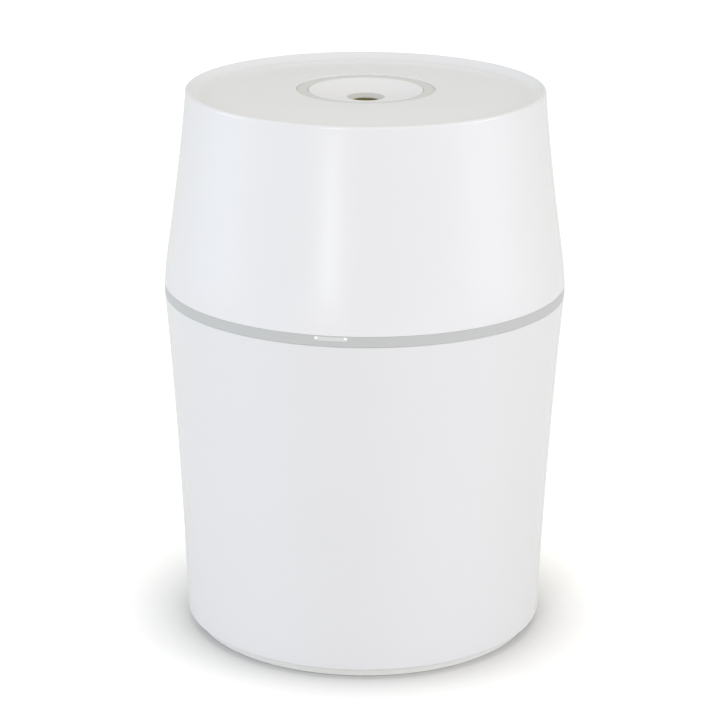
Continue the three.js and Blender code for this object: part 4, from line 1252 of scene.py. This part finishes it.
@dataclass
class Cartridge:
    """The drop-in oil cartridge: bottle, oil, wick and the vibrating-mesh atomizer."""

    bottle_bottom: float = 34.4
    bottle_radius: float = 13.0
    neck_radius: float = 7.4
    drum_radius: float = 14.8
    band_heights: dict[str, float] = field(default_factory=lambda: {"low": 100.6, "high": 104.6})

    def bottle(self) -> Workpiece:
        """The hollow glass bottle."""
        low = self.bottle_bottom
        corners = [
            (0, low + 1.0), (7, low + 0.6), (9, low, 0.4, 3), (self.bottle_radius, low, 2.0, 8),
            (self.bottle_radius, 86), *bow((13.0, 86.2), (13.0, 91.0), (8.6, 92.6), 10),
            (self.neck_radius, 93.2, 0.6, 4), (self.neck_radius, 103.4, 0.4, 3), (5.7, 103.4, 0.4, 3),
            (5.7, 93.4, 0.8, 4), *bow((6.4, 93.0), (11.7, 90.6), (11.7, 86), 8), (11.7, low + 2.1, 1.6, 6),
            (0, low + 2.6),
        ]
        return Workpiece().turn(corners, Sides.LARGE, closed=False)

    def oil(self) -> Workpiece:
        """The oil in the bottle, hollow where the wick stands in it."""
        low = self.bottle_bottom
        corners = [
            (2.5, low + 2.75), (10.2, low + 2.2, 0.3, 2), (11.62, low + 3.4, 0.8, 4), (11.62, 80.6),
            (11.0, 80.0, 0.4, 3), (2.5, 80.0),
        ]
        return Workpiece().turn(corners, Sides.MEDIUM)

    @staticmethod
    def plug() -> Workpiece:
        """The soft plug that holds the wick in the neck."""
        corners = [
            (2.7, 96, 0.2, 2), (5.4, 96, 0.5, 4), (5.4, 103.7), (7.2, 103.7, 0.2, 2), (7.2, 104.9, 0.3, 3),
            (2.7, 104.9, 0.3, 3),
        ]
        return Workpiece().turn(corners, Sides.MEDIUM)

    def head_base(self) -> Workpiece:
        """The atomizer's base: nut, drum with the grooves for the bands, and the grip flange."""
        radius, low, high = self.drum_radius, self.band_heights["low"], self.band_heights["high"]
        corners = [
            (3.4, 105.4), (7.9, 105.4), (7.9, 97, 0.2, 2), (9.4, 97, 0.2, 2), (9.4, 107), (13.1, 107),
            (13.1, 97, 0.2, 2), (radius, 97, 0.5, 4), (radius, low - 1.1, 0.08, 2),
            (radius - 0.6, low - 1.1), (radius - 0.6, low + 1.1), (radius, low + 1.1, 0.08, 2),
            (radius, high - 1.1, 0.08, 2), (radius - 0.6, high - 1.1), (radius - 0.6, high + 1.1),
            (radius, high + 1.1, 0.08, 2), (radius, 109.4, 0.3, 3), (18, 109.4, 0.7, 4),
            (18, 112.6, 0.7, 4), (13.5, 112.6, 0.3, 3), (13.5, 116.6, 0.2, 2), (9.6, 116.6, 0.1, 2),
            (9.6, 115), (3.4, 115),
        ]
        return Workpiece().turn(corners, Sides.LARGE)

    @staticmethod
    def cap() -> Workpiece:
        """The cap that clamps the mesh and the ceramic ring."""
        corners = [
            (3.8, 117.9, 0.15, 2), (12.6, 117.9), (13.8, 116.8), (13.8, 112.9, 0.1, 2),
            (15, 112.9, 0.2, 3), (15, 116.4), *bow((15.0, 116.7), (14.9, 119.5), (11.2, 119.6), 8),
            (4.7, 119.6, 0.4, 3), (3.8, 119.0, 0.2, 3),
        ]
        return Workpiece().turn(corners, Sides.LARGE)

    def band(self, height: float) -> Workpiece:
        """A contact band that lies in its groove."""
        return Workpiece().sleeve(
            self.drum_radius - 0.4, self.drum_radius, height - 1, height + 1, Sides.LARGE, 0.08
        )

    def build(self, bench: Bench) -> None:
        """Makes the cartridge's pieces."""
        own = Body.CARTRIDGE
        bench.put(self.bottle(), "bottle", own, "amber_glass", ["oil_bottle"])
        bench.put(self.oil(), "oil", own, "pale_oil")
        bench.put(self.plug(), "neck_plug", own, "pale_silicone", ["wick_plug"])
        wick = Workpiece().drum(2.4, 38, 115.8, Sides.SMALL, 0.3)
        bench.put(wick, "cotton_wick", own, "wick_cotton", ["wick"])
        bench.put(self.head_base(), "head_base", own, "atomizer_white", ["atomizer_base"])
        bench.put(self.cap(), "head_cap", own, "atomizer_white", ["atomizer_cap"])
        for side, height in self.band_heights.items():
            bench.put(
                self.band(height), f"band_{side}", own, "rolled_brass", [f"contact_band_{side}"]
            )
        for side, level in (("low", 115.15), ("high", 117.05)):
            seal = Workpiece().sleeve(5.0, 8.9, level, level + 0.7, Sides.MEDIUM, 0.2)
            bench.put(seal, f"seal_{side}", own, "pale_silicone", [f"seal_ring_{side}"])
        mesh = Workpiece().drum(9.0, 116.0, 116.25, Sides.MEDIUM, 0.04)
        bench.put(mesh, "mist_mesh", own, "rolled_brass", ["mesh_plate"])
        ceramic = Workpiece().sleeve(4.0, 8.0, 116.4, 116.95, Sides.MEDIUM, 0.08)
        bench.put(ceramic, "ceramic_ring", own, "fired_ceramic", ["piezo_ring"])


@dataclass
class BatteryPack:
    """The cradle in the housing, its three cells and the contacts over them."""

    cell_radius: float = 7.15
    cell_length: float = 49.2
    orbit: float = 24.0
    bearings: dict[str, int] = field(default_factory=lambda: {"right": 50, "middle": 90, "left": 130})
    upright_bottom: float = 9.9
    inverted_top: float = 54.0
    contact_height: float = 60.7

    def cell(self) -> Workpiece:
        """One cell, standing on the height 0 with its button up."""
        r, top = self.cell_radius, self.cell_length
        corners = [
            (0, 0.25), (4.6, 0.25, 0.1, 2), (4.9, 0.0, 0.1, 2), (r, 0, 0.6, 5), (r, top, 0.6, 5),
            (5.0, top, 0.15, 2), (4.8, top - 0.3, 0.1, 2), (2.9, top - 0.3, 0.1, 2),
            (2.6, top + 1.3, 0.35, 4), (0, top + 1.3),
        ]
        return Workpiece().turn(corners, Sides.MEDIUM, closed=False)

    def cradle(self) -> Workpiece:
        """The kidney-shaped block with the three bays, and the feet it stands on."""
        inner, outer = self.orbit - 8.2, self.orbit + 8.2
        block = Workpiece().arc_bar(inner, outer, 40, 5.4, 62.7, 40).rotate(90)
        ends = Workpiece().drum(8.2, 5.4, 62.7, Sides.MEDIUM).move(x=self.orbit)
        block.weld(*ends.copies((self.bearings["right"], self.bearings["left"])))
        bay = Workpiece().drum(self.cell_radius + 0.4, 4, 61.2, Sides.MEDIUM).move(x=self.orbit)
        block.carve(*bay.copies(self.bearings.values()))
        rear = [(31, 14), (31, 5.4), (33.4, 5.4), (33.4, 2.7), (36.2, 2.7), (36.2, 9)]
        front = [(16.2, 20), (16.2, 6), (8.8, 6), (8.8, 2.7), (5.4, 2.7), (5.4, 9)]
        feet = [Workpiece().bar(rear, 1.6, x) for x in (-5, 5)]
        return block.weld(*feet, Workpiece().bar(front, 6.0))

    def build(self, bench: Bench) -> None:
        """Makes the cradle, cells, contacts and the spring."""
        bench.put(
            self.cradle(), "bay_block", Body.BASE, "black_cradle", ["battery_cradle"], 50
        )
        for side, bearing in self.bearings.items():
            cell = self.cell()
            if side == "middle":
                cell.rotate(180, Axis.X).move(z=self.inverted_top)
            else:
                cell.move(z=self.upright_bottom)
            cell.orbit(self.orbit, bearing)
            bench.put(cell, f"power_{side}", Body.BASE, "cell_sleeve", [f"cell_{side}"])
            plate = Workpiece().drum(4.6, self.contact_height, self.contact_height + 0.3, Sides.SMALL, 0.06)
            plate.orbit(self.orbit, bearing)
            node = [f"cradle_contact_{side}"]
            bench.put(plate, f"top_plate_{side}", Body.BASE, "plated_steel", node)
        spring = Workpiece().coil(0.4, 4.0, 2.4, 6.4, 3.5).rotate(180, Axis.X).move(z=60.6)
        spring.orbit(self.orbit, self.bearings["middle"])
        bench.put(spring, "top_spring", Body.BASE, "spring_steel", ["cradle_spring"], 60)


@dataclass
class Electronics:
    """The drive board and what it carries."""

    component_face: float = -26.7

    def coil(self) -> tuple[Workpiece, Workpiece]:
        """The inductor's drum core and the winding on it."""
        core = [
            (0, 0), (5, 0, 0.2, 2), (5, 1.2, 0.2, 2), (3.6, 1.6), (3.6, 4.6), (5, 5.0, 0.2, 2),
            (5, 6.2, 0.2, 2), (0, 6.2),
        ]
        turns = [Corner(3.65, 1.7), Corner(3.65, 4.55)]
        for step in range(7):
            level = 4.35 - step * 0.4
            turns += [Corner(4.5, level + 0.12), Corner(4.65, level), Corner(4.5, level - 0.12)]
        made = (
            Workpiece().turn(core, Sides.MEDIUM, closed=False),
            Workpiece().turn(turns, Sides.MEDIUM),
        )
        for part in made:
            part.rotate(90, Axis.X).move(-5.5, self.component_face, 58)
        return made

    def capacitor(self) -> Workpiece:
        """The filter capacitor, with a crimp near its foot and a scored top."""
        corners = [
            (0, 0), (3.2, 0, 0.2, 3), (3.2, 0.9, 0.1, 2), (2.9, 1.2, 0.1, 2), (3.2, 1.5, 0.1, 2),
            (3.2, 7.5, 0.4, 4), (2.4, 7.5, 0.05, 2), (2.3, 7.35, 0.05, 2), (0, 7.35),
        ]
        made = Workpiece().turn(corners, Sides.MEDIUM, closed=False)
        return made.rotate(90, Axis.X).move(6.5, self.component_face, 30)

    def screw(self, x: float) -> Workpiece:
        """A pan-head screw that holds the board to a lug."""
        return pan_head(1.9, 1.2, 0.8, 4.2).rotate(90, Axis.X).move(x, self.component_face, 67)

    def build(self, bench: Bench) -> None:
        """Dresses the plain blocks and makes the turned parts."""
        plain = {
            "main_board": "board_mask",
            "controller_chip": "chip_epoxy",
            "status_led": "lamp_resin",
            "lead_socket": "atomizer_white",
            "slide_switch": "black_knob",
            "lead_red": "red_insulation",
            "lead_black": "black_insulation",
        }
        for node, finish in plain.items():
            bench.dress(node, finish)
        core, winding = self.coil()
        bench.put(core, "coil_core", Body.BASE, "chip_epoxy", ["drive_coil"])
        bench.put(winding, "coil_winding", Body.BASE, "copper_winding")
        can = self.capacitor()
        bench.put(can, "smoothing_can", Body.BASE, "capacitor_sleeve", ["filter_capacitor"])
        for side, x in (("left", -9.0), ("right", 9.0)):
            node = [f"board_screw_{side}"]
            bench.put(self.screw(x), f"lug_screw_{side}", Body.BASE, "plated_steel", node)


def pan_head(head: float, height: float, shank: float, length: float) -> Workpiece:
    """A cross-head screw on the axis.

    Args:
        head: Radius of the head.
        height: Height of the head above 0.
        shank: Radius of the thread.
        length: Length of the thread below 0.

    Returns:
        The screw, with thread and cross recess.
    """
    corners = [Corner(0, -length), Corner(shank * 0.5, -length)]
    pitch = shank * 0.8
    level = pitch * 0.8 - length
    while level < -pitch:
        corners += [Corner(shank * 0.8, level), Corner(shank, level + pitch / 2)]
        level += pitch
    corners += [Corner(shank * 0.8, -0.2), Corner(shank * 0.8, 0), Corner(head, 0, 0.1, 2)]
    corners += [Corner(head, height * 0.4)]
    corners += bow((head, height * 0.5), (head * 0.95, height), (head * 0.4, height), 6)[1:]
    corners += [Corner(0, height)]
    made = Workpiece().turn(corners, Sides.SMALL, closed=False)
    half_length, half_width = head * 0.6, head * 0.13
    low, high = (-half_length, -half_width, height * 0.35), (half_length, half_width, height * 2)
    slot = Workpiece().block(low, high)
    return made.carve(*slot.copies((45, 135)))


@dataclass(frozen=True)
class Pad:
    """A rubber foot pad: its place round the base and how far it spans each way."""

    side: str
    bearing: int
    half_span: float


@dataclass
class Base:
    """The base plate with its pads and screws."""

    radius: float = 39.6
    bottom: float = 0.4
    lip: float = 0.08
    shoulder: float = 2.0
    face: float = 2.4
    screw_orbit: float = 35.6
    screw_bearings: tuple[int, ...] = (45, 135, 225, 315)
    pad_inner: float = 33.9
    pad_outer: float = 37.9
    pads: tuple[Pad, ...] = (
        Pad("front", 270, 31),
        Pad("right", 0, 31),
        Pad("rear_right", 67, 9),
        Pad("rear_left", 113, 9),
        Pad("left", 180, 31),
    )
    door_radius: float = 32.6
    door_front: float = 9.5

    def plate(self) -> Workpiece:
        """The plate with its door opening, ledge, seats, screw holes, switch slot and guides."""
        corners = [
            (0, self.bottom), (self.radius - 0.75, self.bottom, 0.1, 2),
            (self.radius - 0.65, self.lip, 0.05, 2), (self.radius, self.lip, 0.25, 4),
            (self.radius, self.shoulder, 0.15, 2), (38.8, self.shoulder), (38.8, 5.4, 0.3, 2),
            (37.3, 5.4, 0.3, 2), (37.3, self.face), (0, self.face),
        ]
        plate = Workpiece().turn(corners, Sides.SHELL, closed=False)
        collar = Workpiece().drum(3.0, 2.2, 5.5, Sides.SMALL).move(x=self.screw_orbit)
        guide_places = (-12.6, 12.6)
        guides = [
            Workpiece().block((x - 2, -28.6, 2.2), (x + 2, -23.0, 13)).soften(0.3) for x in guide_places
        ]
        plate.weld(*collar.copies(self.screw_bearings), *guides)

        seats = [
            Workpiece().arc_bar(self.pad_inner - 0.15, self.pad_outer + 0.15, pad.half_span + 0.3, -1, 1.4)
            .rotate(pad.bearing)
            for pad in self.pads
        ]
        shank = Workpiece().drum(1.7, -1, 7, Sides.SMALL).move(x=self.screw_orbit)
        head = Workpiece().drum(3.05, -1, 2.0, Sides.SMALL).move(x=self.screw_orbit)
        opening = Workpiece().segment(self.door_radius, self.door_front, 2.8, -1, 1.9)
        through = Workpiece().segment(self.door_radius - 1, self.door_front + 1, 2.0, 1, 4)
        grip = Workpiece().arc_bar(30, 36.6, 9, -1, 1.3).rotate(90)
        slot = Workpiece().pill((0, -23), 14.6, 5.0, -1, 4, Sides.SMALL)
        edge = Workpiece().block((-13.3, -26.9, 8.7), (13.3, -24.7, 14))
        holes = [*shank.copies(self.screw_bearings), *head.copies(self.screw_bearings)]
        plate.carve(*seats, *holes, opening, through, grip, slot, edge)
        level = self.bottom
        return plate.soften(0.12, 2, 60, lambda edge: all(abs(v.co.z - level) < 0.01 for v in edge.verts))

    def build(self, bench: Bench) -> None:
        """Makes the plate, pads and screws."""
        bench.put(self.plate(), "floor_plate", Body.BASE, "grey_base", ["base_plate"])
        for pad in self.pads:
            foot = Workpiece().arc_bar(self.pad_inner, self.pad_outer, pad.half_span, 0, 1.3)
            foot.soften(0.25, 3).rotate(pad.bearing)
            node = [f"foot_pad_{pad.side}"]
            bench.put(foot, f"pad_{pad.side}", Body.BASE, "foot_rubber", node)
        for number, bearing in enumerate(self.screw_bearings, 1):
            screw = pan_head(2.7, 1.3, 1.2, 12).rotate(180, Axis.X).move(z=1.9)
            screw.orbit(self.screw_orbit, bearing)
            node = [f"base_screw_{number}"]
            bench.put(screw, f"closing_screw_{number}", Body.BASE, "plated_steel", node)


@dataclass
class BatteryDoor:
    """The door under the base, with its contacts and springs."""

    radius: float = 32.3
    front: float = 9.8
    bottom: float = 0.6
    lip_top: float = 1.7
    top: float = 2.6
    orbit: float = 24.0
    bearings: dict[str, int] = field(default_factory=lambda: {"right": 50, "left": 130})

    def panel(self) -> Workpiece:
        """The door itself, with its hooked tabs, latch tongue and grip ridges."""
        lower = Workpiece().segment(self.radius, self.front, 2.5, self.bottom, self.lip_top)
        upper = Workpiece().segment(self.radius - 1.3, self.front + 1.3, 1.7, self.bottom, self.top)
        tab_side = [(13.5, 2.4), (13.5, 3.8), (6.6, 3.8), (6.6, 3.0), (11.3, 3.0), (11.3, 2.4)]
        tabs = [Workpiece().bar(tab_side, 6.0, x).soften(0.2) for x in (-20, 20)]
        reliefs = [Workpiece().block((x - 0.5, 26.4, -1), (x + 0.5, 33, 4)) for x in (-4.5, 4.5)]
        grooves = [Workpiece().block((-3.2, y - 0.25, 0), (3.2, y + 0.25, 0.85)) for y in (27.2, 28.4, 29.6)]
        panel = lower.weld(upper, *tabs).carve(*reliefs, *grooves)
        return panel.soften(0.12, 2, 60, lambda edge: all(v.co.z < self.bottom + 0.01 for v in edge.verts))

    def pair(self) -> Workpiece:
        """The strap that joins the right-hand and the middle cell."""
        pads = [
            Workpiece().drum(4.6, 2.9, 3.2, Sides.SMALL).orbit(self.orbit, bearing) for bearing in (50, 90)
        ]
        half = self.orbit * math.sin(math.radians(20))
        bridge = Workpiece().block((-2, -half, 2.9), (2, half, 3.2))
        bridge.orbit(self.orbit * math.cos(math.radians(20)), 70)
        return bridge.weld(*pads)

    def build(self, bench: Bench) -> None:
        """Makes the door, its contacts and its springs."""
        own = Body.DOOR
        bench.put(self.panel(), "door_panel", own, "grey_base", ["battery_door"])
        bench.put(self.pair(), "strap", own, "plated_steel", ["door_contact_pair"])
        single = Workpiece().drum(4.6, 2.9, 3.2, Sides.SMALL, 0.06).orbit(self.orbit, 130)
        bench.put(single, "lone_contact", own, "plated_steel", ["door_contact_single"])
        for side, bearing in self.bearings.items():
            spring = Workpiece().coil(0.4, 4.0, 2.4, 6.4, 3.5).move(z=3.3).orbit(self.orbit, bearing)
            node = [f"door_spring_{side}"]
            bench.put(spring, f"cell_spring_{side}", own, "spring_steel", node, 60)


@dataclass
class ModeSwitch:
    """The slider under the base and the switch lever it drags."""

    start: float = -3.0
    y: float = -23.0

    def slider(self) -> Workpiece:
        """The ribbed knob, its retaining plate and the fork."""
        knob = Workpiece().pill((0, 0), 8.0, 4.2, 1.0, 3.0, Sides.SMALL)
        plate = Workpiece().block((-7, -3.6, 2.7), (7, 3.2, 3.6)).soften(0.15)
        fork = Workpiece().block((-2.2, -1.5, 3.4), (2.2, 1.5, 5.6))
        notch = Workpiece().block((-0.95, -3, 4.2), (0.95, 3, 7))
        grooves = [Workpiece().block((x - 0.3, -1.6, 0), (x + 0.3, 1.6, 1.4)) for x in (-1.6, 0, 1.6)]
        slider = knob.weld(plate, fork).carve(notch, *grooves)
        slider.soften(0.1, 2, 60, lambda edge: all(v.co.z < 1.05 for v in edge.verts))
        return slider.move(self.start, self.y)

    def lever(self) -> Workpiece:
        """The steel lever of the switch."""
        made = Workpiece().block((-0.65, -0.8, 4.5), (0.65, 0.8, 7.7)).soften(0.2, 3)
        return made.move(self.start, self.y)

    def build(self, bench: Bench) -> None:
        """Makes the slider and the lever."""
        own = Body.SWITCH
        bench.put(self.slider(), "knob", own, "black_knob", ["mode_slider"])
        bench.put(self.lever(), "lever", own, "plated_steel", ["switch_lever"])


# ------------------------------------------------------------------------------- the studio


@dataclass(frozen=True)
class Softbox:
    """A soft light on a stand, aimed at the middle of the diffuser.

    Attributes:
        name: Its name.
        bearing: Degrees to the right of the camera, seen from the diffuser.
        elevation: Degrees above the table.
        distance: Metres from the diffuser.
        size: Width and height in metres.
        power: Watts.
        tint: Colour of the light.
    """

    name: str
    bearing: float
    elevation: float
    distance: float
    size: tuple[float, float]
    power: float
    tint: Colour = (1.0, 1.0, 1.0)


@dataclass
class Studio:
    """The table, the lights and the camera."""

    camera_bearing: float = 9.1
    camera_distance: float = 595.5
    camera_height: float = 254.0
    tilt_down: float = 17.84
    pan: float = 0.096
    roll: float = 0.3
    lens: float = 134.29
    aim_height: float = 0.065
    table_given: Colour = (0.88, 0.88, 0.88)
    table_seen: float = 1.22
    # Darkest tone, reach and occlusion cutoff of the painted contact shadow on the table.
    painted_shadow_dark: float = 0.7
    painted_shadow_reach: float = 0.022
    painted_shadow_cutoff: float = 0.35
    table_radius: float = 6000.0
    zenith: float = 0.91
    zenith_tint: Colour = (1.0, 0.99, 0.935)
    horizon: float = 0.66
    horizon_tint: Colour = (0.99, 1.0, 0.95)
    softboxes: tuple[Softbox, ...] = (
        Softbox("key", 78, 12, 1.5, (0.9, 0.42), 4.75, (0.97, 0.96, 1.0)),
        Softbox("strip", -20, 12, 1.5, (0.24, 0.42), 3.0, (0.93, 0.965, 1.0)),
        Softbox("fill", -90, 12, 1.5, (0.7, 0.42), 3.9, (0.62, 0.78, 1.0)),
        Softbox("front", 10, 42, 1.5, (1.4, 0.7), 2.3, (0.95, 0.88, 1.0)),
    )

    def camera(self) -> None:
        """Sets up the camera."""
        data = bpy.data.cameras.new("view")
        data.lens = self.lens
        data.sensor_width = 36.0
        data.clip_start = 0.01
        data.clip_end = 100.0
        data.dof.use_dof = False
        made = bpy.data.objects.new("view", data)
        bearing = math.radians(self.camera_bearing)
        distance = self.camera_distance * MM
        made.location = (distance * math.sin(bearing), -distance * math.cos(bearing), self.camera_height * MM)
        level = Matrix.Rotation(bearing + math.radians(self.pan), 4, "Z")
        tilt = Matrix.Rotation(math.radians(90 - self.tilt_down), 4, "X")
        roll = Matrix.Rotation(math.radians(self.roll), 4, "Z")
        made.matrix_world = Matrix.Translation(made.location) @ level @ tilt @ roll
        bpy.context.scene.collection.objects.link(made)
        bpy.context.scene.camera = made

    def light(self, box: Softbox) -> None:
        """Sets up one soft light."""
        data = bpy.data.lights.new(box.name, "AREA")
        data.shape = "RECTANGLE"
        data.size, data.size_y = box.size
        data.energy = box.power
        data.color = box.tint
        made = bpy.data.objects.new(box.name, data)
        bearing = math.radians(self.camera_bearing + box.bearing)
        rise = math.radians(box.elevation)
        out = Vector(
            (math.cos(rise) * math.sin(bearing), -math.cos(rise) * math.cos(bearing), math.sin(rise))
        )
        target = Vector((0, 0, self.aim_height))
        made.location = target + out * box.distance
        made.rotation_euler = out.to_track_quat("Z", "Y").to_euler()
        made.visible_camera = False
        bpy.context.scene.collection.objects.link(made)

    def surroundings(self) -> None:
        """A white room: bright to look at, and a dimmer soft light on the diffuser."""
        world = bpy.data.worlds.new("room")
        world.use_nodes = True
        world.node_tree.nodes.clear()
        desk = NodeDesk(world.node_tree)
        height = desk.parts(desk.add("ShaderNodeTexCoord").outputs["Generated"])["Z"]
        low, high = (
            [channel * strength for channel in tint] + [1.0]
            for tint, strength in ((self.horizon_tint, self.horizon), (self.zenith_tint, self.zenith))
        )
        rising = desk.add("ShaderNodeMix", {"Factor": height, 6: low, 7: high}, data_type="RGBA")
        given = desk.add("ShaderNodeBackground", {"Color": rising.outputs[2], "Strength": 1.0})
        seen = desk.add("ShaderNodeBackground", {"Color": (1, 1, 1, 1), "Strength": 1.0})
        desk.add("ShaderNodeOutputWorld", {"Surface": desk.as_seen(given, seen)})
        bpy.context.scene.world = world

    def table(self) -> None:
        """A wide white table top, darkened to the camera near the diffuser by a painted contact shadow."""
        top = Workpiece()
        bmesh.ops.create_circle(top.bm, cap_ends=True, radius=self.table_radius, segments=Sides.LARGE.value)
        bmesh.ops.scale(top.bm, vec=(MM, MM, MM), verts=top.bm.verts[:])
        bmesh.ops.recalc_face_normals(top.bm, faces=top.bm.faces[:])
        made = top.as_object("table_top")
        top.bm.free()
        material = bpy.data.materials.new("table_white")
        material.use_nodes = True
        material.node_tree.nodes.clear()
        desk = NodeDesk(material.node_tree)
        given = desk.add("ShaderNodeBsdfDiffuse", {"Color": (*self.table_given, 1)})
        # Occlusion near the diffuser darkens the table's seen colour: a painted contact shadow.
        closed = desk.add("ShaderNodeAmbientOcclusion", {"Distance": self.painted_shadow_reach}, samples=8)
        tone = desk.spread(closed.outputs["AO"], self.painted_shadow_cutoff, 1.0, self.painted_shadow_dark, self.table_seen)
        seen = desk.add("ShaderNodeBsdfDiffuse", {"Color": tone})
        desk.add("ShaderNodeOutputMaterial", {"Surface": desk.as_seen(given, seen)})
        made.data.materials.append(material)

    def build(self) -> None:
        """Sets up the whole studio."""
        scene = bpy.context.scene
        scene.view_settings.view_transform = "Standard"
        scene.view_settings.look = "None"
        self.camera()
        self.surroundings()
        self.table()
        for box in self.softboxes:
            self.light(box)
            LOG.info("light %s", box.name)


# ------------------------------------------------------------------------------- assembly


def main() -> None:
    """Builds the diffuser, piece by piece, in its studio."""
    logging.basicConfig(level=logging.INFO, format="%(name)s: %(message)s")
    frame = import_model()
    Studio().build()
    bench = Bench(frame, Finishes(Effects()))
    sub_assemblies = (
        Cover(),
        Waist(),
        Housing(),
        Chassis(),
        Cartridge(),
        BatteryPack(),
        Electronics(),
        Base(),
        BatteryDoor(),
        ModeSwitch(),
    )
    for sub_assembly in sub_assemblies:
        sub_assembly.build(bench)
    LOG.info("%d pieces made", bench.count)


if __name__ == "__main__":
    main()
